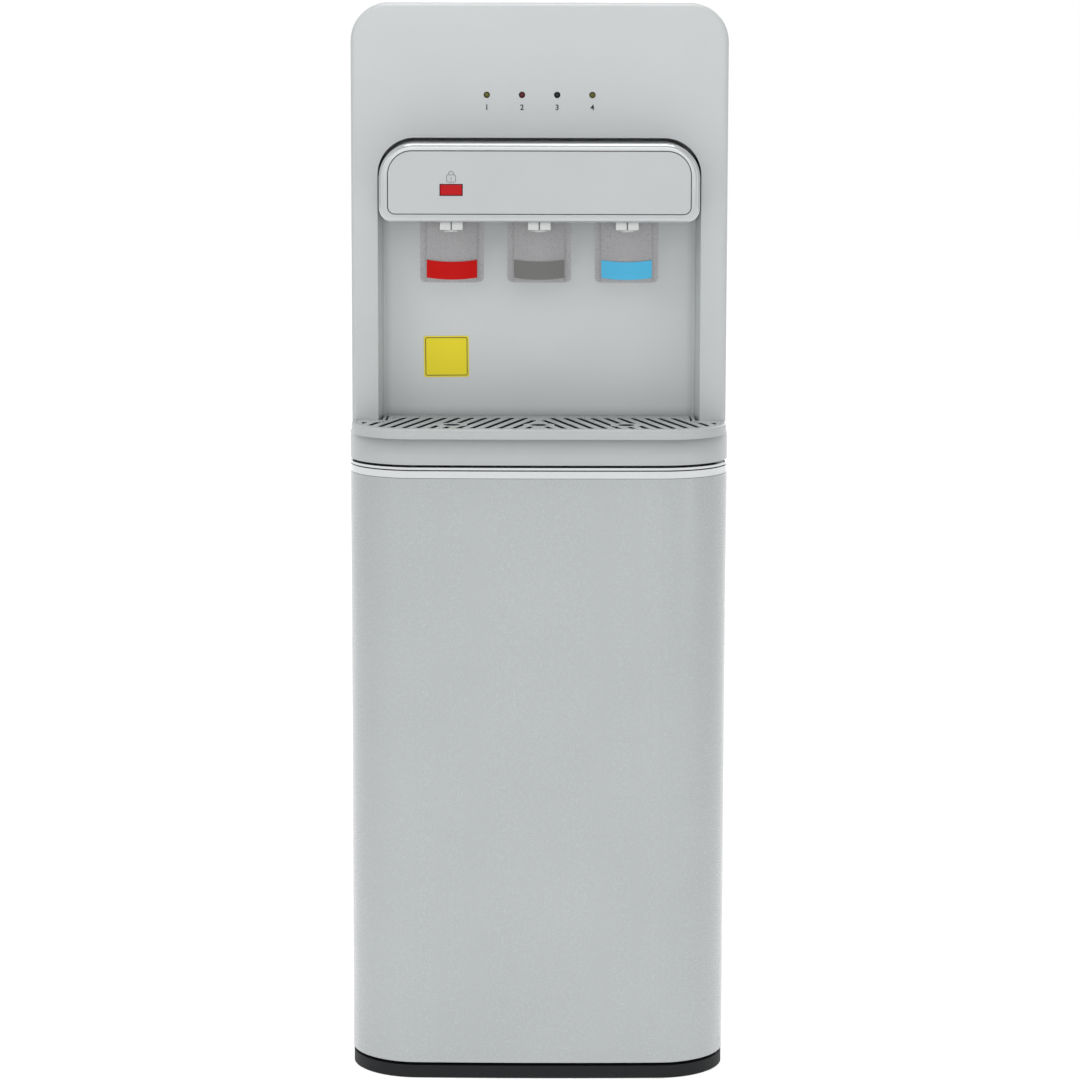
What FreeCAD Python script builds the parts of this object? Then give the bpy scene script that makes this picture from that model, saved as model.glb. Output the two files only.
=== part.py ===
import FreeCAD, Part
import math
import os
import Sketcher

# A free-standing bottom load water cooler with three taps, in millimetres.
# X runs to the right, the front faces -Y and Z is up. The origin is the middle of the
# footprint at floor level. Depths into the cooler are counted from the middle of the
# door's front face, which is the plane Y = front.

# ---------------------------------------------------------------- driving dimensions
DIMENSIONS = {
    # the whole cooler
    "overall_height": 1040,
    "overall_depth": 400,
    "cabinet_width": 362,
    "tray_reach": 12,  # the tray's lip stands this far ahead of the door
    "condenser_room": 16,  # from the frame's rear to the cooler's rearmost wire
    # plan of the bowed front
    "side_bulge": 1.5,  # the door stands this far outside the cabinet's sides
    "bow_radius": 4200,
    "door_corner": 67,
    "door_depth": 70,
    "side_gap": 3,  # between the door's rear edge and the side panel
    # levels of the lower front
    "foot_height": 0.6,
    "foot_radius": 14,
    "foot_setback": 56,  # from the front to the front feet
    "plinth_top": 13,
    "plinth_inset": 0.8,
    "door_bottom": 16.3,
    "door_gap": 2.4,  # between the door and the band over it
    "trim_height": 10.2,
    "trim_groove": 1.1,
    "trim_bead": 2.3,
    "seam": 0.4,
    "head_rise": 437,  # from the band's underside to the cooler's top
    "band_height": 26,
    "tray_rise": 10,
    # walls
    "wall": 2.5,
    "sheet": 1,
    "jamb_width": 14,
    "door_thickness": 10,
    "door_lip": 3,  # from the lower edge to the closed floor
    "liner_wall": 2,
    "fit_gap": 0.3,
    # hinge of the door
    "hinge_inset": 9.5,
    "hinge_forward": 20,
    "pin_radius": 2.5,
    "pin_clearance": 0.05,
    "bush_radius": 4,
    "boss_radius": 7,
    "boss_height": 12,
    "thrust_gap": 0.1,  # between the bracket and the bush
    "bracket_forward": 4,
    "bracket_gap": 0.5,
    "flange_radius": 5.5,
    "bracket_gauge": 2.3,
    "bracket_reach": 9,
    "bracket_edge": 3.2,
    "grip_height": 340,
    "grip_length": 90,
    "grip_depth": 9,
    "grip_overrun": 4,  # how far the notch reaches past the inner shell
    "magnet_length": 30,
    "magnet_width": 11,
    "magnet_low": 110,
    "magnet_drop": 100.6,  # the upper magnet's foot below the door's top
    "strike_margin": 4,
    # head
    "head_setback": 65,
    "head_corner": 37,
    "edge_round": 5,
    "fascia_depth": 25,
    "cap_height": 40,
    "cap_overhang": 4,
    # dispensing niche
    "niche_inset": 25.4,
    "niche_draft": 3.2,
    "niche_depth": 44.3,
    "niche_drop": 128.6,
    "niche_corner": 36,
    "niche_fillet": 3,
    # tap housing
    "housing_gap": 3.5,  # between the housing and the niche's sides
    "housing_front": 12,
    "housing_height": 75,
    "housing_drop": 131.6,
    "housing_corner_top": 33.4,
    "housing_corner_bottom": 13.4,
    "housing_face": 4.5,
    "housing_round": 4.4,
    "housing_boss": 6,
    "plate_margin_side": 8.6,
    "plate_margin_top": 7.6,
    "plate_margin_bottom": 7.9,
    "plate_corner_top": 23,
    "plate_corner_bottom": 6.7,
    "plate_thickness": 2,
    "plate_groove": 0.8,
    "plate_sink": 0.2,
    # lamps
    "lamp_count": 4,
    "lamp_pitch": 33.7,
    "lamp_drop": 87.7,
    "lamp_radius": 2.8,
    "lamp_length": 8,
    "lamp_dome": 2.2,
    "board_height": 18,
    "board_thickness": 1.6,
    # child lock
    "button_width": 20.6,
    "button_height": 9.9,
    "button_rise": 30.7,
    "button_proud": 0.4,
    "button_travel": 3,
    "button_corner": 1.2,
    "button_edge": 0.8,
    "button_clearance": 0.7,
    "button_stem": 3,
    # taps
    "tap_pitch": 83.5,
    "block_width": 21.5,
    "block_slack": 0.8,
    "block_room": 1.5,  # behind the block
    "valve_setback": 0.7,
    "valve_flange": 6,  # beyond the block on each side
    "valve_flange_gauge": 3,
    "block_depth": 19,
    "block_hang": 7.4,
    "block_height": 24,
    "block_slit": 1.4,
    "spout_radius": 7.8,
    "spout_bore": 4,
    "spout_drop": 2,
    "inlet_rise": 36.6,
    "inlet_radius": 4.5,
    "tail_length": 8,
    "riser_radius": 7,
    # paddles
    "paddle_face": 26,  # behind the housing's front
    "paddle_width": 61,
    "paddle_slack": 1.5,
    "paddle_plate_drop": 3,  # from the pivot to the plate
    "post_gap": 0.5,
    "paddle_bow_width": 48.4,
    "paddle_bow": 4,
    "paddle_wing_step": 2,
    "paddle_thickness": 2.2,
    "paddle_hang": 59,
    "paddle_pivot_rise": 8.6,
    "paddle_pivot_depth": 34,
    "paddle_pin": 1.5,
    "paddle_corner": 5,
    "ear_half": 4,
    "post_width": 3,
    "insert_rise": 2.9,
    "insert_height": 17,
    "insert_smile": 1.7,
    "insert_thickness": 1,
    "insert_fit": 0.1,
    # drip tray and grille
    "tray_inset": 0.5,
    "tray_corner": 60,
    "tray_bow": 12000,
    "tray_lip": 9.7,
    "tray_wall": 2.2,
    "basin_inset": 4.8,
    "basin_corner": 30,
    "basin_back_corner": 6,
    "basin_front_gap": 3,
    "tray_edge": 1.5,
    "grille_thickness": 3,
    "grille_margin": 5,
    "grille_rim": 4,
    "ear_rim": 13,
    "slot_pitch": 13.1,
    "slot_first": 12.1,
    "slot_width": 5.3,
    "slot_lean": 16.5,
    "slot_front": 6.5,
    "slot_back": 81,
    "slot_stop": 4.9,  # no slot comes nearer to the middle
    "slots_each_side": 14,
    "target_radius": 15,
    "target_hole": 8,
    # bottle bay
    "machine_depth": 80,  # the room behind the bay's deep half
    "bay_step": 34,
    "bay_slant": 75,
    "bay_floor_thickness": 3,
    "bay_floor_gap": 12,  # from the door to the floor board
    "bottle_radius": 137,
    "bottle_rim": 4,
    "shelf_gauge": 1.5,
    "shelf_fold": 16.5,
    # machine room
    "compressor_inset": 77,
    "compressor_setback": 50,
    "compressor_radius": 54,
    "compressor_height": 154,
    "compressor_dome": 24,
    "compressor_wall": 14,
    "compressor_seam": 4,
    "compressor_foot": 52,
    "compressor_foot_narrow": 10,  # how much less the plate reaches front to back
    "cover_drop": 2,
    "compressor_plate": 3,
    "discharge_rise": 100,
    "discharge_reach": 7,
    "grommet_height": 10,
    "grommet_radius": 7,
    "grommet_inset": 8,
    "cover_length": 28,
    "cover_width": 30,
    "cover_height": 43,
    # condenser
    "condenser_right_inset": 15,
    "condenser_left_inset": 85,
    "condenser_low": 360,
    "condenser_recess": 0.1,
    "condenser_top_gap": 32,
    "condenser_loops": 8,
    "condenser_tube": 2.5,
    "condenser_wire": 0.8,
    "wire_pitch": 12,
    "wires_left_out": 3,  # places without wires at the bends
    "mount_inset": 18,
    "mount_width": 8,
    "mount_height": 14,
    "suction_radius": 3,
    "capillary_radius": 1.5,
    "capillary_x": 15,
    "capillary_setback": 62,
    "capillary_low": 150,
    "drier_radius": 8,
    "drier_low": 190,
    "drier_length": 100,
    "drier_setback": 22,
    "drier_gap": 15,
    "liquid_drop": 28,
    "pipe_bend": 6,
    # tanks
    "tank_front_gap": 30,
    "tank_side_gaps": 25,
    "tank_top_gap": 154,
    "hot_tank_drop": 38,
    "foam": 18,
    "coil_radius": 3,
    "coil_spread": 0.72,  # the share of the tank that the turns cover
    "coil_gap": 0.2,
    "coil_turns": 9,
    "hot_inset": 85,
    "hot_setback": 125.7,  # behind the niche's rear wall
    "hot_radius": 45,
    "hot_jacket": 60,
    "jacket_gap": 10,
    "jacket_floor": 30,
    "tank_wall": 1,
    "tank_round": 8,
    "thermostat_radius": 8,
    # pump and hoses
    "pump_gap": 45,  # from the probe to the pump
    "pump_setback": 34.7,
    "pump_radius": 22,
    "pump_shoulder": 3,
    "pump_height": 84,
    "pump_head": 44,
    "pump_stub": 4,
    "room_feed_shift": 10,
    "hose_radius": 4,
    "hose_drop": 115,
    "hose_room": 11,
    "hose_bend": 14,
    "cold_outlet": 57,
    "intake_level": 37,
    # bottle probe
    "probe_inset": 25,
    "probe_radius": 6,
    "probe_bottom": 120,
    "probe_drop": 60.6,
    "probe_tip": 12,
    "probe_stub": 10,
    "cap_radius": 22,
    "cap_rise": 16,
    "clip_level": 300,
    "clip_height": 14,
    "clip_width": 10,
    # rear fittings
    "rear_panel_bottom": 330,
    "louvre_count": 12,
    "louvre_pitch": 24,
    "louvre_height": 5,
    "louvre_drop": 360,
    "louvre_left": 120,
    "louvre_right": 50,
    "switch_inset": 33,
    "switch_drop": 70,
    "switch_step": 38,
    "rocker_width": 13,
    "rocker_height": 19,
    "rocker_tilt": 10,
    "rocker_pin": 1.2,
    "rocker_play": 0.8,
    "rocker_sink": 3,
    "bezel_rim": 3.5,
    "bezel_play": 0.4,
    "bezel_depth": 16,
    "drain_gap": 35,
    "drain_rise": 42,
    "drain_radius": 7,
    "drain_bore": 4.5,
    "plug_rim": 3,
    "plug_stem": 12,
    "gland_level": 360,
    "gland_radius": 8,
    "gland_bore": 4,
    "screw_rows": 4,
    "screw_radius": 4,
    "screw_inset": 8,
    "screw_margin": 15,
    # main board
    "board_stand": 8,
    "main_board_length": 100,
    "main_board_height": 80,
    "main_board_drop": 20,
    "main_board_setback": 6,
    "stand_radius": 3,
    "transformer_length": 32,
    "transformer_height": 28,
    "transformer_depth": 26,
    "relay_length": 19,
    "relay_depth": 16,
    "capacitor_length": 20,
}

doc = FreeCAD.newDocument("bottom_load_water_cooler")
sheet = doc.addObject("Spreadsheet::Sheet", "Sizes")
for row, (alias, number) in enumerate(DIMENSIONS.items(), start=1):
    sheet.set(f"A{row}", alias.replace("_", " "))
    sheet.set(f"B{row}", str(number))
    sheet.setAlias(f"B{row}", alias)
doc.recompute()


# ---------------------------------------------------------------- sizes
class Size:
    """A length with its value now and the sheet expression that gives it."""

    def __init__(self, value, text):
        self.value = float(value)
        self.text = text

    def __add__(self, other):
        other = size(other)
        return Size(self.value + other.value, f"({self.text} + {other.text})")

    def __sub__(self, other):
        other = size(other)
        return Size(self.value - other.value, f"({self.text} - {other.text})")

    def __mul__(self, other):
        other = size(other)
        return Size(self.value * other.value, f"({self.text} * {other.text})")

    def __truediv__(self, other):
        other = size(other)
        return Size(self.value / other.value, f"({self.text} / {other.text})")

    def __radd__(self, other):
        return size(other) + self

    def __rsub__(self, other):
        return size(other) - self

    def __rmul__(self, other):
        return size(other) * self

    def __neg__(self):
        return Size(-self.value, f"(-{self.text})")


def size(number):
    """A plain number as a Size."""
    return number if isinstance(number, Size) else Size(number, repr(float(number)))


def root(square):
    return Size(math.sqrt(square.value), f"sqrt({square.text})")


class Sheet:
    """The driving dimensions by name."""

    def __getattr__(self, alias):
        return Size(getattr(sheet, alias), f"Sizes.{alias}")


d = Sheet()


def bind(item, place, length):
    """Ties one property of an object to its expression."""
    item.setExpression(place, size(length).text)


# ---------------------------------------------------------------- building blocks
def place(item, x, y, z):
    for axis, length in (("x", x), ("y", y), ("z", z)):
        bind(item, f"Placement.Base.{axis}", length)


def box(name, x, y, z):
    """A block between the low and high value along each axis."""
    item = doc.addObject("Part::Box", name)
    for side, span in (("Length", x), ("Width", y), ("Height", z)):
        bind(item, side, size(span[1]) - span[0])
    place(item, x[0], y[0], z[0])
    return item


TURNS = {
    "X": FreeCAD.Rotation(FreeCAD.Vector(0, 1, 0), 90),
    "Y": FreeCAD.Rotation(FreeCAD.Vector(1, 0, 0), -90),
    "Z": FreeCAD.Rotation(),
}


def rod(name, axis, centre, span, radius):
    """A cylinder along an axis. The centre holds the two other coordinates, in order."""
    item = doc.addObject("Part::Cylinder", name)
    item.Placement = FreeCAD.Placement(FreeCAD.Vector(), TURNS[axis])
    bind(item, "Radius", radius)
    bind(item, "Height", size(span[1]) - span[0])
    spot = list(centre)
    spot.insert("XYZ".index(axis), span[0])
    place(item, *spot)
    return item


def cut(name, base, *tools):
    item = doc.addObject("Part::Cut", name)
    item.Base = base
    item.Tool = tools[0] if len(tools) == 1 else fuse(name + "_tools", *tools)
    return item


def fuse(name, *pieces):
    item = doc.addObject("Part::MultiFuse", name)
    item.Shapes = list(pieces)
    return item


def common(name, *pieces):
    item = doc.addObject("Part::MultiCommon", name)
    item.Shapes = list(pieces)
    return item


def group(name, pieces):
    """Separate solids that share one node."""
    item = doc.addObject("Part::Compound", name)
    item.Links = list(pieces)
    return item


def solid(name, shape):
    """A piece whose shape is worked out here from the sheet's values."""
    item = doc.addObject("Part::Feature", name)
    item.Shape = shape
    item.Placement = FreeCAD.Placement()
    return item


def arc(x, y, centre, turn=1):
    """An outline step: an arc to (x, y) round a centre, turning left for 1 and right for -1."""
    return (size(x), size(y), size(centre[0]), size(centre[1]), turn)


def draw(sketch, steps):
    """Draws one closed wire. A step ends a straight side at (x, y) or is an arc."""
    steps = [tuple(size(v) for v in s) if len(s) == 2 else s for s in steps]
    first = sketch.GeometryCount
    rules, ends, bound = [], [], []
    for n, step in enumerate(steps):
        last = steps[n - 1]
        start, end = (last[0], last[1]), (step[0], step[1])
        a = FreeCAD.Vector(start[0].value, start[1].value, 0)
        b = FreeCAD.Vector(end[0].value, end[1].value, 0)
        if len(step) == 2:
            sketch.addGeometry(Part.LineSegment(a, b))
            ends.append((1, 2))
            continue
        centre = FreeCAD.Vector(step[2].value, step[3].value, 0)
        circle = Part.Circle(centre, FreeCAD.Vector(0, 0, 1), (b - centre).Length)
        angles = [math.atan2((p - centre).y, (p - centre).x) for p in (a, b)]
        low, high = angles if step[4] > 0 else reversed(angles)
        sketch.addGeometry(Part.ArcOfCircle(circle, low, high if high > low else high + 2 * math.pi))
        ends.append((1, 2) if step[4] > 0 else (2, 1))
        chord = b - a
        across = "DistanceY" if abs(chord.x) > abs(chord.y) else "DistanceX"
        bound.append((across, first + n, 3, step[3] if across == "DistanceY" else step[2]))
    for n, step in enumerate(steps):
        after = (n + 1) % len(steps)
        rules.append(Sketcher.Constraint("Coincident", first + n, ends[n][1], first + after, ends[after][0]))
        bound.append(("DistanceX", first + n, ends[n][1], step[0]))
        bound.append(("DistanceY", first + n, ends[n][1], step[1]))
    sketch.addConstraint(rules)
    for kind, line, point, length in bound:
        number = sketch.addConstraint(Sketcher.Constraint(kind, -1, 1, line, point, length.value))
        bind(sketch, f"Constraints[{number}]", length)


def ring(sketch, x, y, radius):
    """Draws one circle."""
    x, y, radius = size(x), size(y), size(radius)
    circle = Part.Circle(FreeCAD.Vector(x.value, y.value, 0), FreeCAD.Vector(0, 0, 1), radius.value)
    line = sketch.addGeometry(circle)
    for kind, args, length in (
        ("Radius", (line,), radius),
        ("DistanceX", (-1, 1, line, 3), x),
        ("DistanceY", (-1, 1, line, 3), y),
    ):
        number = sketch.addConstraint(Sketcher.Constraint(kind, *args, length.value))
        bind(sketch, f"Constraints[{number}]", length)


def sketch_on(body, plane, level):
    """A sketch on one of the body's own planes: XY looks down, XZ looks back, YZ looks left."""
    sketch = body.newObject("Sketcher::SketchObject", body.Name + "_sketch")
    planes = [p for p in body.Origin.OriginFeatures if p.Role == plane + "_Plane"]
    sketch.AttachmentSupport = [(planes[0], "")]
    sketch.MapMode = "FlatFace"
    bind(sketch, "AttachmentOffset.Base.z", level)
    return sketch


def prism(name, plane, span, *outlines, circles=()):
    """A body padded from one sketch between two levels along the plane's normal."""
    body = doc.addObject("PartDesign::Body", name)
    level = -size(span[1]) if plane == "XZ" else size(span[0])
    sketch = sketch_on(body, plane, level)
    for steps in outlines:
        draw(sketch, steps)
    for circle in circles:
        ring(sketch, *circle)
    pad = body.newObject("PartDesign::Pad", name + "_pad")
    pad.Profile = sketch
    bind(pad, "Length", size(span[1]) - span[0])
    return body


def soften(body, radius, test):
    """Rounds the body's edges that pass the test."""
    doc.recompute()
    base = body.Tip
    names = [f"Edge{n}" for n, edge in enumerate(base.Shape.Edges, start=1) if test(edge)]
    if not names:
        raise ValueError(f"no edge to round on {body.Name}")
    fillet = body.newObject("PartDesign::Fillet", body.Name + "_round")
    fillet.Base = (base, names)
    bind(fillet, "Radius", radius)
    return body


def near(value, length):
    return abs(value - size(length).value) < 0.01


def flat_at(edge, axis, length):
    """True if the whole edge lies on one level of an axis."""
    low = getattr(edge.BoundBox, axis + "Min")
    high = getattr(edge.BoundBox, axis + "Max")
    return near(low, length) and near(high, length)


def along(edge, axis):
    """True for a straight edge that runs along an axis."""
    run = edge.BoundBox
    sides = {"X": run.XLength, "Y": run.YLength, "Z": run.ZLength}
    return sides[axis] > 0.5 and all(v < 0.01 for k, v in sides.items() if k != axis)


def rectangle(x, y):
    return [(x[0], y[0]), (x[1], y[0]), (x[1], y[1]), (x[0], y[1])]


def soft_rectangle(x, y, low, high):
    """A rectangle with one corner radius below and another above."""
    (left, right), (bottom, top) = [[size(v) for v in pair] for pair in (x, y)]
    return [
        (right - low, bottom),
        arc(right, bottom + low, (right - low, bottom + low)),
        (right, top - high),
        arc(right - high, top, (right - high, top - high)),
        (left + high, top),
        arc(left, top - high, (left + high, top - high)),
        (left, bottom + low),
        arc(left + low, bottom, (left + low, bottom + low)),
    ]


def arch(half, bottom, top, corner):
    """The head's front view: square below, rounded above."""
    half, bottom, top = size(half), size(bottom), size(top)
    return [
        (half, bottom),
        (half, top - corner),
        arc(half - corner, top, (half - corner, top - corner)),
        (-half + corner, top),
        arc(-half, top - corner, (-half + corner, top - corner)),
        (-half, bottom),
    ]


def bow_corner(half, face, bow, corner):
    """Centre and tangent point of the corner arc between a bowed front and a side."""
    centre_x = half - corner
    reach = root((bow - corner) * (bow - corner) - centre_x * centre_x)
    centre_y = face + bow - reach
    stretch = bow / (bow - corner)
    return centre_x, centre_y, centre_x * stretch, face + bow - reach * stretch


def bowed_front(half, face, bow, corner):
    """The steps from the left side round the bowed front to the right side."""
    centre_x, centre_y, touch_x, touch_y = bow_corner(half, face, bow, corner)
    return [
        (-half, centre_y),
        arc(-touch_x, touch_y, (-centre_x, centre_y)),
        arc(touch_x, touch_y, (0, face + bow)),
        arc(half, centre_y, (centre_x, centre_y)),
    ]


def bowed(inset, back):
    """The door's plan, drawn in by an inset and closed at a depth."""
    steps = bowed_front(half_door - inset, front + inset, d.bow_radius - inset, d.door_corner - inset)
    return steps + [(half_door - inset, back), (inset - half_door, back)]


def pipe(points, radius, bend, bore=None):
    """A round tube along straight runs joined by tangent arcs."""
    spots = [FreeCAD.Vector(*[size(v).value for v in p]) for p in points]
    edges, begin = [], spots[0]
    for before, corner, after in zip(spots, spots[1:], spots[2:]):
        inward, outward = (before - corner).normalize(), (after - corner).normalize()
        turn = math.pi - inward.getAngle(outward)
        reach = bend * math.tan(turn / 2)
        middle = (inward + outward).normalize() * (bend / math.cos(turn / 2) - bend)
        entry, leave = corner + inward * reach, corner + outward * reach
        if (entry - begin).Length > 1e-6:
            edges.append(Part.LineSegment(begin, entry).toShape())
        edges.append(Part.Arc(entry, corner + middle, leave).toShape())
        begin = leave
    edges.append(Part.LineSegment(begin, spots[-1]).toShape())
    path = Part.Wire(edges)
    heading = spots[1] - spots[0]

    def swept(thickness):
        section = Part.Wire(Part.makeCircle(thickness, spots[0], heading))
        return path.makePipeShell([section], True, False)

    tube = swept(size(radius).value)
    return tube.cut(swept(size(bore).value)) if bore else tube


# ---------------------------------------------------------------- shared places
front = d.tray_reach - d.overall_depth / 2
rear = d.overall_depth / 2
half_cabinet = d.cabinet_width / 2
half_door = half_cabinet + d.side_bulge
inner_half = half_cabinet - d.sheet
half_niche = half_cabinet - d.niche_inset
half_niche_back = half_niche - d.niche_draft
half_housing = half_niche - d.housing_gap
half_tray = half_cabinet - d.tray_inset
half_basin = half_niche - d.basin_inset
# levels, counted from the top so that the head keeps its shape
cap_bottom = d.overall_height - d.cap_height
band_bottom = d.overall_height - d.head_rise
band_top = band_bottom + d.band_height
head_bottom = band_top + d.seam
tray_top = band_top + d.tray_rise
door_top = band_bottom - d.door_gap
shelf_bottom = band_bottom - d.shelf_gauge
niche_top = d.overall_height - d.niche_drop
housing_top = d.overall_height - d.housing_drop
housing_bottom = housing_top - d.housing_height
lamp_height = d.overall_height - d.lamp_drop
button_level = housing_bottom + d.button_rise
block_bottom = housing_bottom - d.block_hang
block_top = block_bottom + d.block_height
inlet_level = housing_bottom + d.inlet_rise
paddle_bottom = housing_bottom - d.paddle_hang
insert_bottom = paddle_bottom + d.insert_rise
pivot_z = housing_bottom + d.paddle_pivot_rise
# depths
door_back = front + d.door_depth
panel_front = door_back + d.side_gap
head_face = front + d.head_setback
fascia_back = head_face + d.fascia_depth
niche_back = head_face + d.niche_depth
liner_back = niche_back + d.liner_wall
tail_y = liner_back + d.tail_length
housing_y = front + d.housing_front
pivot_y = housing_y + d.paddle_pivot_depth
target_y = housing_y + d.housing_face + d.block_depth / 2
hinge_x = half_door - d.hinge_inset
hinge_y = door_back - d.hinge_forward
frame_back = rear - d.condenser_room
panel_back = frame_back + d.sheet
taps = {"hot": -d.tap_pitch, "room": size(0), "cold": size(1) * d.tap_pitch}
# the bay's rear wall and the machine room behind it
deep_y = frame_back - d.machine_depth
step_y = deep_y - d.bay_step
compressor_x = inner_half - d.compressor_inset
compressor_y = frame_back - d.compressor_setback
compressor_foot = d.plinth_top + d.grommet_height
compressor_top = compressor_foot + d.compressor_plate + d.compressor_height
compressor_pipe_x = compressor_x - d.compressor_radius / 3
capillary_y = frame_back - d.capillary_setback
# condenser
condenser_y = rear - 2 * d.condenser_wire - d.condenser_tube - d.condenser_recess
condenser_left = d.condenser_left_inset - inner_half
condenser_right = inner_half - d.condenser_right_inset
condenser_rises = 2 * int(d.condenser_loops.value)  # even, so that the tube ends on the left
condenser_top = cap_bottom - d.condenser_top_gap
condenser_pitch = (condenser_top - d.condenser_low) / condenser_rises
drier_x = condenser_left - d.drier_gap
drier_y = frame_back - d.drier_setback
drier_top = d.drier_low + d.drier_length
# tanks side by side, with the same total gap beside them at any width
tank_floor = band_bottom + d.jacket_floor
cold_top = cap_bottom - d.tank_top_gap
hot_top = cold_top - d.hot_tank_drop
cold_jacket = inner_half - d.tank_side_gaps - d.hot_jacket
cold_radius = cold_jacket - d.foam - 2 * d.coil_radius - 1
cold_x = inner_half - d.jacket_gap - cold_jacket
cold_y = niche_back + d.tank_front_gap + cold_jacket
hot_x = d.hot_inset - inner_half
hot_y = niche_back + d.hot_setback
# water
probe_x = d.probe_inset - inner_half
pump_x = probe_x + d.pump_gap
pump_y = niche_back + d.pump_setback
probe_top = door_top - d.probe_drop
probe_hose = probe_top + d.cap_rise + d.probe_stub
hose_level = cap_bottom - d.hose_drop
# rear fittings
switch_x = d.switch_inset - inner_half
switch_high = cap_bottom - d.switch_drop
drain_x = hot_x - d.drain_gap
drain_level = band_bottom + d.drain_rise
magnet_high = door_top - d.magnet_drop
PAST = 5  # how far a cutting tool runs past the face that it opens
HAIR = 0.01  # what a return bend leaves straight between its two arcs


# ---------------------------------------------------------------- base and cabinet
def pan_plan(shrink):
    """The pan's plan: nearly flush below the door, narrower between the side panels."""
    inset = d.plinth_inset + shrink
    wide, narrow = half_door - inset, inner_half - d.fit_gap - shrink
    step, back = panel_front - d.fit_gap - shrink, frame_back - shrink
    steps = bowed_front(wide, front + inset, d.bow_radius - inset, d.door_corner - inset)
    right = [(wide, step), (narrow, step), (narrow, back)]
    return steps + right + [(-narrow, back), (-narrow, step), (-wide, step)]


def base_pan():
    """The black plinth: a pan with a skirt, open below."""
    blank = prism("pan_blank", "XY", (d.foot_height, d.plinth_top), pan_plan(size(0)))
    hollow = prism("pan_hollow", "XY", (d.foot_height, d.plinth_top - d.wall), pan_plan(d.wall))
    return cut("base_pan", blank, hollow)


def rubber_feet():
    foot_x = half_cabinet - 2 * d.foot_radius
    near_y = front + d.foot_setback
    far_y = frame_back - 2 * d.foot_radius
    feet = [
        rod(f"foot_{n}", "Z", (x, y), (0, d.plinth_top - d.wall), d.foot_radius)
        for n, (x, y) in enumerate([(-foot_x, near_y), (foot_x, near_y), (-foot_x, far_y), (foot_x, far_y)])
    ]
    return group("rubber_feet", feet)


def side_panel(name, side):
    """A folded steel side: full depth below, stepped back behind the head's front."""
    outer, inner = side * half_cabinet, side * inner_half
    span = (outer, inner) if side < 0 else (inner, outer)
    low = d.foot_height + 2
    profile = [
        (panel_front, low),
        (frame_back, low),
        (frame_back, cap_bottom),
        (fascia_back, cap_bottom),
        (fascia_back, band_top),
        (panel_front, band_top),
    ]
    skin = prism(name + "_skin", "YZ", span, profile)
    edge = side * (inner_half - d.jamb_width)
    flange = (inner, edge) if side < 0 else (edge, inner)
    jamb = box(name + "_jamb", flange, (panel_front, panel_front + d.sheet), (d.plinth_top, shelf_bottom))
    fold = box(name + "_fold", flange, (frame_back - d.sheet, frame_back), (d.rear_panel_bottom, cap_bottom))
    return fuse(name, skin, jamb, fold)


def top_cover():
    """The moulded cap: rounded along both sides and closed behind."""
    back = frame_back + d.cap_overhang
    blank = prism(
        "cap_blank", "XZ", (fascia_back + d.fit_gap, back),
        arch(half_cabinet, cap_bottom, d.overall_height, d.head_corner),
    )
    soften(
        blank,
        d.edge_round - 1,
        lambda e: flat_at(e, "Y", back) and e.BoundBox.ZMax > cap_bottom.value + 1,
    )
    hollow = prism(
        "cap_hollow", "XZ", (fascia_back, back - d.wall),
        arch(half_cabinet - d.wall, cap_bottom, d.overall_height - d.wall, d.head_corner - d.wall),
    )
    return cut("top_cover", blank, hollow)


def niche_opening(name, span, bottom):
    return prism(name, "XZ", span, arch(half_niche, bottom, niche_top, d.niche_corner))


def lamp_spots():
    """The X of each lamp, spread evenly about the middle."""
    return [(n - (d.lamp_count - 1) / 2) * d.lamp_pitch for n in range(int(d.lamp_count.value))]


def head_fascia():
    """The head's front moulding: a rounded frame with the niche opening and lamp holes."""
    blank = prism(
        "fascia_blank", "XZ", (head_face, fascia_back),
        arch(half_cabinet, head_bottom, d.overall_height, d.head_corner),
    )
    soften(
        blank,
        d.edge_round,
        lambda e: flat_at(e, "Y", head_face) and e.BoundBox.ZMax > head_bottom.value + 1,
    )
    inner = head_face + d.wall
    hollow = prism(
        "fascia_hollow", "XZ", (inner, fascia_back),
        arch(half_cabinet - d.wall, head_bottom, d.overall_height - d.wall, d.head_corner - d.wall),
    )
    opening = niche_opening("fascia_opening", (head_face - PAST, inner + PAST), head_bottom)
    holes = [
        rod(
            f"lamp_hole_{n}", "Y", (x, lamp_height), (head_face - PAST, inner + PAST),
            d.lamp_radius + d.fit_gap,
        )
        for n, x in enumerate(lamp_spots())
    ]
    return cut("head_fascia", blank, hollow, opening, *holes)


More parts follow.
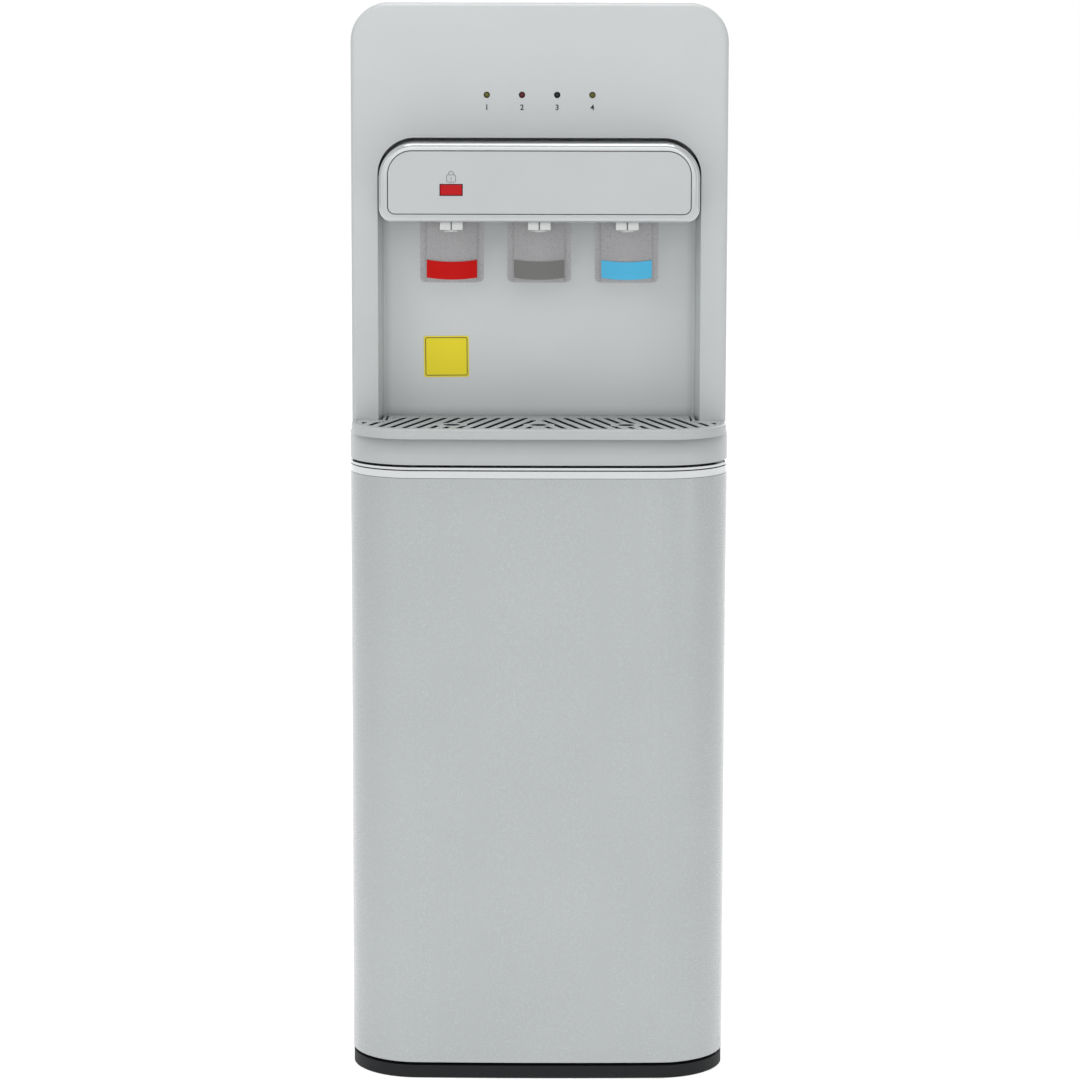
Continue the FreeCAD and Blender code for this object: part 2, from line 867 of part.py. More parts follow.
def niche_liner():
    """The dispensing niche: drafted sides, a rear wall with three inlet holes and a roof."""
    begin = head_face + d.wall
    slope = d.niche_draft / d.niche_depth
    half_front = half_niche - slope * d.wall
    skin = d.liner_wall
    plan = [
        (half_front + skin, begin),
        (half_niche_back + skin, niche_back + skin),
        (-half_niche_back - skin, niche_back + skin),
        (-half_front - skin, begin),
        (-half_front, begin),
        (-half_niche_back, niche_back),
        (half_niche_back, niche_back),
        (half_front, begin),
    ]
    roof_low = niche_top + d.fit_gap
    walls = prism("niche_walls", "XY", (band_bottom + d.wall, roof_low), plan)
    soften(
        walls,
        d.niche_fillet,
        lambda e: along(e, "Z") and near(e.BoundBox.YMin, niche_back),
    )
    roof = box(
        "niche_roof",
        (-half_niche_back - skin, half_niche_back + skin),
        (begin, niche_back + skin),
        (roof_low, roof_low + skin),
    )
    holes = [
        rod(
            f"inlet_hole_{key}", "Y", (x, inlet_level), (niche_back - PAST, niche_back + PAST),
            d.inlet_radius + 1,
        )
        for key, x in taps.items()
    ]
    return cut("niche_liner", fuse("niche_shell", walls, roof), *holes)


def mid_shelf():
    """The steel shelf that carries the tanks, with a folded front edge."""
    half = inner_half - d.fit_gap
    front_edge = panel_front + d.side_gap
    passages = [
        (compressor_pipe_x, compressor_y, d.hose_radius + 1),
        (d.capillary_x, capillary_y, d.hose_radius),
        (probe_x, pump_y, d.hose_radius + 1),
    ]
    plate = prism(
        "shelf_plate",
        "XY",
        (shelf_bottom, band_bottom),
        rectangle((-half, half), (front_edge, frame_back - d.sheet)),
        circles=passages,
    )
    fold_half = half - d.jamb_width - 1
    fold_y = (front_edge, front_edge + d.shelf_gauge)
    fold = box("shelf_fold", (-fold_half, fold_half), fold_y, (shelf_bottom - d.shelf_fold, shelf_bottom))
    return fuse("mid_shelf", plate, fold)


def front_band():
    """The fixed band over the door: a bowed skin with the floor that carries the drip tray."""
    skin = prism("band_skin", "XY", (band_bottom, band_top), bowed(0, door_back + d.side_gap - d.fit_gap))
    hollow = prism(
        "band_hollow", "XY", (band_bottom + d.wall, band_top + PAST),
        bowed(d.wall, door_back + PAST),
    )
    pin_hole = rod("band_pin_hole", "Z", (hinge_x, hinge_y), (band_bottom - 1, band_top), d.pin_radius)
    tongue_half = half_niche_back + d.liner_wall
    tongue = box(
        "band_tongue",
        (-tongue_half, tongue_half),
        (door_back, liner_back),
        (band_bottom, band_bottom + d.wall),
    )
    return fuse("front_band", cut("band_shell", skin, hollow, pin_hole), tongue)


def wall_plan(offset):
    """Half of the bay wall's plan: deeper for the bottle, stepped forward for the compressor."""
    reach = inner_half - d.fit_gap
    near_x = compressor_x - d.grommet_inset
    far_x = near_x - d.bay_slant
    levels = (deep_y + offset, step_y + offset)
    return [(-reach, levels[0]), (far_x, levels[0]), (near_x, levels[1]), (reach, levels[1])]


def bay_rear_wall():
    plan = wall_plan(0) + wall_plan(d.shelf_gauge)[::-1]
    return prism("bay_rear_wall", "XY", (d.plinth_top, shelf_bottom), plan)


def bay_floor():
    """The bottle's platform with a raised rim that centres it."""
    inset = d.door_thickness + d.bay_floor_gap
    back = step_y - d.side_gap
    top = d.plinth_top + d.bay_floor_thickness
    half_floor = inner_half - d.jamb_width - d.side_gap
    blank = prism("floor_blank", "XY", (d.plinth_top, top), bowed(inset, back))
    sides = box("floor_sides", (-half_floor, half_floor), (front, back), (d.plinth_top, top))
    trimmed = common("floor_plate", blank, sides)
    centre_y = front + d.bottle_radius + d.door_thickness + d.side_gap
    rim = prism(
        "floor_rim_ring", "XY", (top, top + d.bottle_rim),
        circles=[(0, centre_y, d.bottle_radius), (0, centre_y, d.bottle_radius + d.bottle_rim)],
    )
    kept = box("floor_rim_sides", (-half_floor, half_floor), (door_back, back), (top, top + d.bottle_rim))
    return fuse("bay_floor", trimmed, common("floor_rim", rim, kept))


# ---------------------------------------------------------------- tap housing
def face_outline(margin_side, margin_top, margin_bottom, grow):
    """The front plate's rounded outline inside the housing's face."""
    half = half_housing - margin_side + grow
    levels = (housing_bottom + margin_bottom - grow, housing_top - margin_top + grow)
    return soft_rectangle((-half, half), levels, d.plate_corner_bottom + grow, d.plate_corner_top + grow)


def tap_housing():
    """The rounded box that holds the taps, with a recessed face and openings below."""
    face = housing_y
    inner = face + d.housing_face
    back = niche_back - d.niche_fillet - d.fit_gap
    levels = (housing_bottom, housing_top)
    blank = prism(
        "housing_blank", "XZ", (face, back),
        soft_rectangle((-half_housing, half_housing), levels, d.housing_corner_bottom, d.housing_corner_top),
    )
    soften(blank, d.housing_round, lambda e: flat_at(e, "Y", face))
    thin = half_housing - d.wall
    hollow = prism(
        "housing_hollow", "XZ", (inner, back + PAST),
        soft_rectangle(
            (-thin, thin),
            (housing_bottom + d.wall, housing_top - d.wall),
            d.housing_corner_bottom - d.wall,
            d.housing_corner_top - d.wall,
        ),
    )
    recess = prism(
        "housing_recess", "XZ", (face - PAST, face + d.plate_thickness + d.plate_sink),
        face_outline(d.plate_margin_side, d.plate_margin_top, d.plate_margin_bottom, d.plate_groove),
    )
    tools = [hollow, recess, button_hole("housing_button_hole")]
    posts = []
    bottom = (housing_bottom - PAST, housing_bottom + d.wall + 1)
    for key, x in taps.items():
        block = d.block_width / 2 + d.block_slack
        wing = d.paddle_width / 2 + d.paddle_slack
        block_y = (inner + d.fit_gap, inner + d.block_depth + d.block_room)
        tools.append(box(f"{key}_block_opening", (x - block, x + block), block_y, bottom))
        paddle_y = (face + d.paddle_face - d.paddle_slack, pivot_y + d.paddle_width / 4)
        tools.append(box(f"{key}_paddle_opening", (x - wing, x + wing), paddle_y, bottom))
        for side in (-1, 1):
            near_x = x + side * (wing + d.post_gap)
            far_x = near_x + side * d.post_width
            across = (near_x, far_x) if side > 0 else (far_x, near_x)
            post = (pivot_y - d.ear_half, pivot_y + d.ear_half)
            rise = (housing_bottom + d.wall, pivot_z + d.ear_half)
            posts.append(box(f"{key}_post_{side + 1}", across, post, rise))
    boss_z = housing_top - d.wall - 2 * d.housing_boss
    begin = back - d.housing_boss
    for n, x in enumerate((-d.tap_pitch / 2, d.tap_pitch / 2)):
        posts.append(rod(f"housing_boss_{n}", "Y", (x, boss_z), (begin, niche_back), d.housing_boss))
        rib = (x - d.sheet, x + d.sheet)
        posts.append(box(f"housing_boss_rib_{n}", rib, (begin, back), (boss_z, housing_top - d.wall)))
    pins = [
        rod(f"{key}_post_bore", "X", (pivot_y, pivot_z), pin_span(x), d.paddle_pin)
        for key, x in taps.items()
    ]
    shell = cut("housing_shell", blank, *tools)
    return cut("tap_housing", fuse("housing_with_posts", shell, *posts), *pins)


def pin_span(x):
    reach = d.paddle_width / 2 + 2 + d.post_width
    return x - reach, x + reach


def button_hole(name):
    half_x = d.button_width / 2 + d.button_clearance
    half_z = d.button_height / 2 + d.button_clearance
    return box(
        name,
        (taps["hot"] - half_x, taps["hot"] + half_x),
        (housing_y - PAST, housing_y + d.housing_face + 1),
        (button_level - half_z, button_level + half_z),
    )


def housing_front_plate():
    outline = face_outline(d.plate_margin_side, d.plate_margin_top, d.plate_margin_bottom, size(0))
    y = (housing_y + d.plate_sink, housing_y + d.plate_sink + d.plate_thickness)
    plate = prism("plate_blank", "XZ", y, outline)
    return cut("housing_front_plate", plate, button_hole("plate_button_hole"))


def child_lock_button():
    x, z = taps["hot"], button_level
    half_x, half_z = d.button_width / 2, d.button_height / 2
    begin = housing_y - d.button_proud
    stop = housing_y + d.housing_face + d.fit_gap
    cap = prism(
        "button_cap", "XZ", (begin, stop),
        soft_rectangle((x - half_x, x + half_x), (z - half_z, z + half_z), d.button_corner, d.button_corner),
    )
    soften(cap, d.button_edge, lambda e: flat_at(e, "Y", begin))
    edge = d.button_clearance + d.button_stem / 2
    across, upright = (x - half_x - edge, x + half_x + edge), (z - half_z - edge, z + half_z + edge)
    flange = box("button_flange", across, (stop, stop + d.button_stem / 2), upright)
    stem = rod("button_stem", "Y", (x, z), (stop, stop + 2 * d.button_travel), d.button_stem)
    return fuse("child_lock_button", cap, flange, stem)


def tap_valve(key, x):
    """A tap: a split white block with its spout below, a flange on the floor and an inlet tail."""
    y0 = housing_y + d.housing_face + d.valve_setback
    y1 = y0 + d.block_depth
    middle = (y0 + y1) / 2
    half = d.block_width / 2
    seat = housing_bottom + d.wall
    block = box(f"{key}_block", (x - half, x + half), (y0, y1), (block_bottom, block_top))
    across = (x - d.block_slit / 2, x + d.block_slit / 2)
    slit = box(f"{key}_slit", across, (y0 - 1, y0 + 2), (block_bottom - 1, seat))
    reach = half + d.valve_flange
    rise = (seat, seat + d.valve_flange_gauge)
    flange = box(f"{key}_flange", (x - reach, x + reach), (y0 + d.fit_gap, y1), rise)
    spout = rod(f"{key}_spout", "Z", (x, middle), (block_bottom - d.spout_drop, block_bottom), d.spout_radius)
    rise = (block_top - d.riser_radius, inlet_level + d.riser_radius)
    body = rod(f"{key}_body", "Z", (x, y1), rise, d.riser_radius)
    tail = rod(f"{key}_tail", "Y", (x, inlet_level), (y1, tail_y), d.inlet_radius)
    bore = rod(f"{key}_bore", "Z", (x, middle), (block_bottom - d.spout_drop - 1, seat), d.spout_bore)
    whole = fuse(f"{key}_valve_blank", cut(f"{key}_split_block", block, slit), flange, spout, body, tail)
    return cut(f"tap_valve_{key}", whole, bore)


def paddle_radius():
    half = d.paddle_bow_width / 2
    return (half * half + d.paddle_bow * d.paddle_bow) / (2 * d.paddle_bow)


def paddle(key, x):
    """A lever: a bowed plate with two wings, hung on its pin by an ear at each side."""
    face = housing_y + d.paddle_face
    half, bow, edge = d.paddle_width / 2, d.paddle_bow_width / 2, face + d.paddle_bow
    wing = edge + d.paddle_wing_step
    centre = (x, face + paddle_radius())
    inner_radius = paddle_radius() - d.paddle_thickness
    inner_half_width = bow - d.paddle_thickness
    inner_y = centre[1] - root(inner_radius * inner_radius - inner_half_width * inner_half_width)
    back = wing + d.paddle_thickness
    plan = [
        (x - half, wing),
        (x - bow, wing),
        (x - bow, edge),
        arc(x + bow, edge, centre),
        (x + bow, wing),
        (x + half, wing),
        (x + half, back),
        (x + inner_half_width, back),
        (x + inner_half_width, inner_y),
        arc(x - inner_half_width, inner_y, centre, -1),
        (x - inner_half_width, back),
        (x - half, back),
    ]
    plate = prism(f"{key}_plate", "XY", (paddle_bottom, pivot_z - d.paddle_plate_drop), plan)

    def low_corner(edge):
        at_side = near(abs(edge.BoundBox.XMin - x.value), half)
        return along(edge, "Y") and near(edge.BoundBox.ZMin, paddle_bottom) and at_side

    soften(plate, d.paddle_corner, low_corner)
    ears = []
    for side in (-1, 1):
        outer, inner = x + side * half, x + side * (half - d.ear_half)
        across = (outer, inner) if side < 0 else (inner, outer)
        rise = (pivot_z - 2 * d.ear_half, pivot_z + d.ear_half)
        ears.append(box(f"{key}_ear_{side + 1}", across, (wing, pivot_y + d.ear_half), rise))
    bore = rod(f"{key}_bore_pin", "X", (pivot_y, pivot_z), pin_span(x), d.paddle_pin + d.pin_clearance)
    return cut(f"paddle_{key}", fuse(f"{key}_lever", plate, *ears), bore)


def paddle_insert(key, x):
    """The coloured strip on the paddle's bow, its edges curved like a smile."""
    face = housing_y + d.paddle_face
    centre_y = face + paddle_radius()
    half = d.paddle_bow_width / 2 - d.insert_fit
    outer = paddle_radius() + d.insert_thickness
    outer_y = centre_y - root(outer * outer - half * half)
    inner_y = centre_y - root(paddle_radius() * paddle_radius() - half * half)
    plan = [
        (x - half, outer_y),
        arc(x + half, outer_y, (x, centre_y)),
        (x + half, inner_y),
        arc(x - half, inner_y, (x, centre_y), -1),
    ]
    low = insert_bottom
    high = low + d.insert_height
    smile = (half * half + d.insert_smile * d.insert_smile) / (2 * d.insert_smile)
    shape = [
        (x - half, low + d.insert_smile),
        arc(x + half, low + d.insert_smile, (x, low + smile)),
        (x + half, high + d.insert_smile),
        arc(x - half, high + d.insert_smile, (x, high + smile), -1),
    ]
    strip = prism(f"{key}_strip", "XY", (low - 1, high + d.insert_smile + 1), plan)
    window = prism(f"{key}_window", "XZ", (face - PAST, edge_of_bow() + PAST), shape)
    return common(f"paddle_insert_{key}", strip, window)


def edge_of_bow():
    return housing_y + d.paddle_face + d.paddle_bow


def paddle_pins():
    return group(
        "paddle_pins",
        [rod(f"{key}_pin", "X", (pivot_y, pivot_z), pin_span(x), d.paddle_pin) for key, x in taps.items()],
    )


def status_lamps():
    lamps = []
    for n, x in enumerate(lamp_spots()):
        circle = [(x, lamp_height, d.lamp_radius)]
        lamp = prism(f"lamp_{n}", "XZ", (head_face, head_face + d.lamp_length), circles=circle)
        lamps.append(soften(lamp, d.lamp_dome, lambda e: flat_at(e, "Y", head_face)))
    return group("status_lamps", lamps)


def indicator_board():
    y = head_face + d.lamp_length
    reach = d.lamp_pitch * d.lamp_count / 2
    height = (lamp_height - d.board_height / 2, lamp_height + d.board_height / 2)
    back = y + d.board_thickness
    board = box("lamp_board", (-reach, reach), (y, back), height)
    posts = [
        rod(f"board_post_{n}", "Y", (x, lamp_height), (head_face + d.wall, y), d.stand_radius)
        for n, x in enumerate((2 * d.stand_radius - reach, reach - 2 * d.stand_radius))
    ]
    plug = d.board_height / 6
    rise = (lamp_height - plug, lamp_height + plug)
    connector = box("board_plug", (-2 * plug, 2 * plug), (back, back + 2 * plug), rise)
    return fuse("indicator_board", board, connector, *posts)


# ---------------------------------------------------------------- drip tray
def tray_plan(inset):
    """The tray's plan: a bowed front with ears before the head's legs, and a tongue in the niche."""
    half = half_tray - inset
    ear = head_face - 2 * d.seam - inset
    tongue = half_niche_back - 1 - inset
    back = niche_back - d.niche_fillet - inset
    steps = bowed_front(half, front - d.tray_reach + inset, d.tray_bow, d.tray_corner - inset)
    return steps + [(half, ear), (tongue, ear), (tongue, back), (-tongue, back), (-tongue, ear), (-half, ear)]


def basin_plan(inset):
    """The basin under the lip, inside the band."""
    half = half_basin - inset
    y = (front + d.wall + d.basin_front_gap + inset, niche_back - d.niche_fillet - 1 - inset)
    return soft_rectangle((-half, half), y, d.basin_corner - inset, d.basin_back_corner - inset)


def drip_tray():
    lip_low = tray_top - d.tray_lip
    floor = band_bottom + d.wall + d.fit_gap
    lip = prism("tray_lip_blank", "XY", (lip_low, tray_top), tray_plan(size(0)))
    soften(
        lip,
        d.tray_edge,
        lambda e: flat_at(e, "Z", tray_top) and e.BoundBox.YMax < (head_face - 1).value,
    )
    ledge = tray_top - d.grille_thickness
    basin = prism("tray_basin_blank", "XY", (floor, ledge), basin_plan(size(0)))
    under = prism("tray_underside", "XY", (lip_low - PAST, ledge - d.tray_wall), tray_plan(d.wall))
    skirt = cut("tray_skirt", lip, under)
    seat = prism("tray_seat", "XY", (ledge, tray_top + PAST), tray_plan(d.grille_margin - d.fit_gap))
    hollow = prism("tray_hollow", "XY", (floor + d.tray_wall, tray_top + PAST), basin_plan(d.tray_wall))
    return cut("drip_tray", fuse("tray_body", skirt, basin), seat, hollow)


def slot(name, side, n, level):
    """A slot with round ends that leans towards the middle and stops short of it."""
    lean = math.radians(d.slot_lean.value)
    x = d.slot_first + n * d.slot_pitch
    y0, y1 = front - d.tray_reach + d.slot_front, front + d.slot_back
    stop = y0 + (x - d.slot_stop) / math.tan(lean)
    if stop.value < y1.value:
        y1 = stop
    near_end = (side * x, y0)
    far_end = (side * (x - (y1 - y0) * math.tan(lean)), y1)
    across = (d.slot_width / 2 * math.cos(lean), side * d.slot_width / 2 * math.sin(lean))
    outline = [
        arc(near_end[0] + across[0], near_end[1] + across[1], near_end),
        (far_end[0] + across[0], far_end[1] + across[1]),
        arc(far_end[0] - across[0], far_end[1] - across[1], far_end),
        (near_end[0] - across[0], near_end[1] - across[1]),
    ]
    return prism(name, "XY", (level[0] - 1, level[1] + 1), outline)


def drip_grille():
    """A plate with leaning slots, three round targets and a plain rim that is wider in the ears."""
    level = (tray_top - d.grille_thickness, tray_top)
    blank = prism("grille_blank", "XY", level, tray_plan(d.grille_margin))
    slots = [
        slot(f"slot_{side + 1}_{n}", side, n, level)
        for side in (-1, 1)
        for n in range(int(d.slots_each_side.value))
    ]
    slotted = cut("grille_slotted", blank, *slots)
    inner = d.grille_margin + d.grille_rim
    plain = [prism("grille_rim", "XY", level, tray_plan(d.grille_margin), tray_plan(inner))]
    ear_back = head_face - 2 * d.seam - d.grille_margin
    for side in (-1, 1):
        outer, begin = side * (half_tray - inner), side * half_basin
        across = (outer, begin) if side < 0 else (begin, outer)
        plain.append(box(f"grille_ear_{side + 1}", across, (ear_back - d.ear_rim, ear_back), level))
    holes = []
    for key, x in taps.items():
        plain.append(rod(f"{key}_target", "Z", (x, target_y), level, d.target_radius))
        through = (level[0] - 1, level[1] + 1)
        holes.append(rod(f"{key}_target_hole", "Z", (x, target_y), through, d.target_hole))
    return cut("drip_grille", fuse("grille_plate", slotted, *plain), *holes)


# ---------------------------------------------------------------- bottle bay door
def door_outer_panel():
    """The bowed outer skin with its bottom edge, hinge boss and finger grip."""
    top = door_top - d.trim_height - d.seam
    skin = prism("door_skin_blank", "XY", (d.door_bottom, top), bowed(0, door_back))
    hollow = prism("door_skin_hollow", "XY", (d.door_bottom + d.door_lip, top + PAST), bowed(d.wall, door_back + PAST))
    inside = bowed(d.door_thickness, door_back + PAST)
    floor_hollow = prism("door_floor_hollow", "XY", (d.door_bottom - 1, top), inside)
    shell = cut("door_shell", skin, hollow, floor_hollow)
    spot, boss_top = (hinge_x, hinge_y), d.door_bottom + d.boss_height
    boss = rod("door_low_boss", "Z", spot, (d.door_bottom, boss_top), d.boss_radius)
    bore = rod("door_low_bore", "Z", spot, (d.door_bottom - 1, boss_top + 1), d.bush_radius)
    return cut("door_outer_panel", fuse("door_shell_boss", shell, boss), bore, grip("outer"))


def grip(name):
    """The finger grip: a notch in the free side's rear edge."""
    low = d.grip_height - d.grip_length / 2
    y = (door_back - d.grip_depth, door_back + 1)
    across = (-half_door - 1, -half_door + d.door_thickness + d.grip_overrun)
    return box(f"{name}_grip", across, y, (low, low + d.grip_length))


def door_inner_liner():
    """The inner shell, with end plates and rear flanges that close the door's hollow."""
    low = d.door_bottom + d.door_lip
    high = door_top - d.trim_height - d.seam
    deep = d.door_thickness - d.liner_wall
    ring_blank = prism("liner_blank", "XY", (low, high), bowed(deep, door_back - 1))
    inside = bowed(d.door_thickness, door_back + PAST)
    ring_hollow = prism("liner_hollow", "XY", (low - 1, high + 1), inside)
    pieces = [cut("liner_shell", ring_blank, ring_hollow)]
    for n, level in enumerate(((low, low + d.liner_wall), (high - d.liner_wall, high))):
        plate = prism(f"liner_end_{n}", "XY", level, bowed(d.wall, door_back - 1))
        middle = prism(f"liner_end_hollow_{n}", "XY", (level[0] - 1, level[1] + 1), inside)
        pieces.append(cut(f"liner_end_plate_{n}", plate, middle))
    inner = half_door - d.door_thickness
    outer = half_door - d.wall
    room = prism("liner_room", "XY", (low, high), bowed(d.wall, door_back - 1))
    for side in (-1, 1):
        across = (side * outer, side * inner) if side < 0 else (side * inner, side * outer)
        depth = (door_back - 1 - d.liner_wall, door_back - 1)
        blank = box(f"liner_flange_blank_{side + 1}", across, depth, (low, high))
        pieces.append(common(f"liner_flange_{side + 1}", blank, room))
    half_lining = d.grip_length / 2 + d.wall
    rise = (d.grip_height - half_lining, d.grip_height + half_lining)
    lining = box("grip_lining", (-outer, -inner), (door_back - d.grip_depth - d.wall, door_back - 1), rise)
    pieces.append(common("grip_pocket", lining, room))
    room_z = (d.door_bottom, d.door_bottom + d.boss_height + d.fit_gap)
    clear = rod("liner_boss_room", "Z", (hinge_x, hinge_y), room_z, d.boss_radius + d.fit_gap)
    return cut("door_inner_liner", fuse("liner_whole", *pieces), clear, grip("inner"))


def door_top_trim():
    """The bright cap along the door's top, with a thin groove under its upper bead."""
    low = door_top - d.trim_height
    cap = prism("trim_blank", "XY", (low, door_top), bowed(0, door_back))
    hollow = prism("trim_hollow", "XY", (low - 1, door_top + 1), bowed(d.door_thickness, door_back + PAST))
    level = door_top - d.trim_bead
    cut_z = (level - d.trim_groove, level)
    groove_out = prism("groove_out", "XY", cut_z, bowed(-1, door_back + PAST))
    groove_in = prism("groove_in", "XY", cut_z, bowed(d.trim_groove, door_back + PAST))
    groove = cut("trim_groove_ring", groove_out, groove_in)
    boss = rod("trim_boss", "Z", (hinge_x, hinge_y), (low, door_top), d.boss_radius)
    bore = rod("trim_bore", "Z", (hinge_x, hinge_y), (low - 1, door_top + 1), d.bush_radius)
    return cut("door_top_trim", fuse("trim_boss_body", cut("trim_ring", cap, hollow, groove), boss), bore)


def bush(name, low, high, flange):
    """A sleeve in the door's boss with a thrust flange at one end."""
    sleeve = rod(f"{name}_sleeve", "Z", (hinge_x, hinge_y), (low, high), d.bush_radius)
    disc = rod(f"{name}_flange", "Z", (hinge_x, hinge_y), flange, d.flange_radius)
    bore = rod(f"{name}_bore", "Z", (hinge_x, hinge_y), (low - 2, high + 2), d.pin_radius + d.pin_clearance)
    return cut(name, fuse(f"{name}_blank", sleeve, disc), bore)


def door_bushes():
    bracket_top = d.plinth_top + d.bracket_gauge
    thrust = (bracket_top + d.thrust_gap, d.door_bottom)
    lower = bush("bush_low", d.door_bottom, d.door_bottom + d.boss_height, thrust)
    upper = bush("bush_high", door_top - d.trim_height, door_top, (door_top, door_top + 1))
    return group("door_bushes", [lower, upper])


def hinge_pins():
    low = rod("pin_low", "Z", (hinge_x, hinge_y), (d.plinth_top, d.door_bottom + d.boss_height), d.pin_radius)
    top = band_bottom + d.wall + d.bracket_gauge
    high = rod("pin_high", "Z", (hinge_x, hinge_y), (door_top - d.trim_height, top), d.pin_radius)
    return group("hinge_pins", [low, high])


def hinge_brackets():
    """A steel plate on the base pan and one on the band's floor, each holding a pin."""
    across = (hinge_x - d.bracket_reach, hinge_x + d.bracket_edge)
    plates = []
    low_y = (hinge_y - d.bracket_forward, panel_front - d.bracket_gap)
    for name, z in (
        ("low", (d.plinth_top, d.plinth_top + d.bracket_gauge)),
        ("high", (band_bottom + d.wall, band_bottom + d.wall + d.bracket_gauge)),
    ):
        plate = box(f"bracket_{name}_plate", across, low_y, z)
        hole = rod(f"bracket_{name}_hole", "Z", (hinge_x, hinge_y), (z[0] - 1, z[1] + 1), d.pin_radius)
        plates.append(cut(f"bracket_{name}", plate, hole))
    return group("hinge_brackets", plates)


def magnet_levels():
    return [("low", d.magnet_low), ("high", magnet_high)]


def door_magnets():
    outer = d.wall - half_door
    blocks = [
        box(
            f"magnet_{n}",
            (outer + d.fit_gap, outer + d.fit_gap + d.magnet_width),
            (door_back - 1, panel_front - d.sheet - d.fit_gap),
            (z, z + d.magnet_length),
        )
        for n, z in magnet_levels()
    ]
    return group("door_magnets", blocks)


def strike_plates():
    inner = -inner_half
    plates = [
        box(
            f"strike_{n}",
            (inner, inner + d.jamb_width),
            (panel_front - d.sheet, panel_front),
            (z - d.strike_margin, z + d.magnet_length + d.strike_margin),
        )
        for n, z in magnet_levels()
    ]
    return group("strike_plates", plates)


# ---------------------------------------------------------------- machine room
def compressor():
    """A welded shell with a seam ring, a foot plate, a terminal cover and a discharge stub."""
    x, y = compressor_x, compressor_y
    low, top = compressor_foot, compressor_top
    plate_top = low + d.compressor_plate
    shell = prism("shell_blank", "XY", (plate_top, top), circles=[(x, y, d.compressor_radius)])
    soften(shell, d.compressor_dome, lambda e: flat_at(e, "Z", top))
    motor_radius = d.compressor_radius - d.compressor_wall
    motor = rod("motor_space", "Z", (x, y), (low - 1, top - d.compressor_dome), motor_radius)
    seam_z = plate_top + d.compressor_height / 2
    seam_radius = d.compressor_radius + d.compressor_plate
    seam = rod("shell_seam", "Z", (x, y), (seam_z, seam_z + d.compressor_seam), seam_radius)
    half_x, half_y = d.compressor_foot, d.compressor_foot - d.compressor_foot_narrow
    plate = box("shell_plate", (x - half_x, x + half_x), (y - half_y, y + half_y), (low, plate_top))
    cover_x = x - d.compressor_radius + d.grommet_inset
    cover = box(
        "terminal_cover",
        (cover_x - d.cover_length, cover_x),
        (y - d.cover_width / 2, y + d.cover_width / 2),
        (seam_z - d.cover_drop - d.cover_height, seam_z - d.cover_drop),
    )
    return cut("compressor", fuse("compressor_shell", shell, seam, plate, cover), motor)


def compressor_grommets():
    reach_x = d.compressor_foot - d.grommet_inset
    reach_y = reach_x - d.compressor_foot_narrow
    rubbers = []
    for n, (side, end) in enumerate(((-1, -1), (1, -1), (-1, 1), (1, 1))):
        spot = (compressor_x + side * reach_x, compressor_y + end * reach_y)
        rubbers.append(rod(f"grommet_{n}", "Z", spot, (d.plinth_top, compressor_foot), d.grommet_radius))
    return group("compressor_grommets", rubbers)


def condenser_coil():
    """The rear condenser: one serpentine tube between two rows of upright wires."""
    left, right, low, pitch = condenser_left, condenser_right, d.condenser_low, condenser_pitch
    bend = pitch.value / 2 - HAIR
    points = [(right + 1, condenser_y, low)]
    for n in range(condenser_rises):
        z = low + n * pitch
        side = right if n % 2 else left
        points += [(side, condenser_y, z), (side, condenser_y, z + pitch)]
    points.append((left - 1, condenser_y, condenser_top))
    tube = pipe(points, d.condenser_tube, bend)
    offset = (d.condenser_tube + d.condenser_wire + d.pin_clearance).value
    begin = low - 2 * d.condenser_tube
    height = (condenser_top - begin + 2 * d.condenser_tube).value
    wires = []
    count = int(((right - left) / d.wire_pitch).value) - int(d.wires_left_out.value)
    for n in range(count):
        x = left + (n + 2) * d.wire_pitch
        for side in (-1, 1):
            foot = FreeCAD.Vector(x.value, condenser_y.value + side * offset, begin.value)
            wires.append(Part.makeCylinder(d.condenser_wire.value, height, foot))
    return solid("condenser_coil", Part.makeCompound([tube, *wires]))


def condenser_mounts():
    """Four blocks that hold the tube off the rear panel and the frame's folds."""
    half_x, half_z = d.mount_width / 2, d.mount_height / 2
    blocks = []
    for n, run in enumerate((1, condenser_rises - 1)):
        z = d.condenser_low + run * condenser_pitch
        for m, x in enumerate((condenser_left + d.mount_inset, condenser_right - d.mount_inset)):
            y = (panel_back, condenser_y - d.condenser_tube)
            blocks.append(box(f"mount_{n}_{m}", (x - half_x, x + half_x), y, (z - half_z, z + half_z)))
    return group("condenser_mounts", blocks)


def filter_drier():
    levels = (d.drier_low, drier_top)
    body = prism("filter_drier", "XY", levels, circles=[(drier_x, drier_y, d.drier_radius)])
    ends = d.drier_radius - d.suction_radius
    return soften(body, ends, lambda e: flat_at(e, "Z", levels[0]) or flat_at(e, "Z", levels[1]))


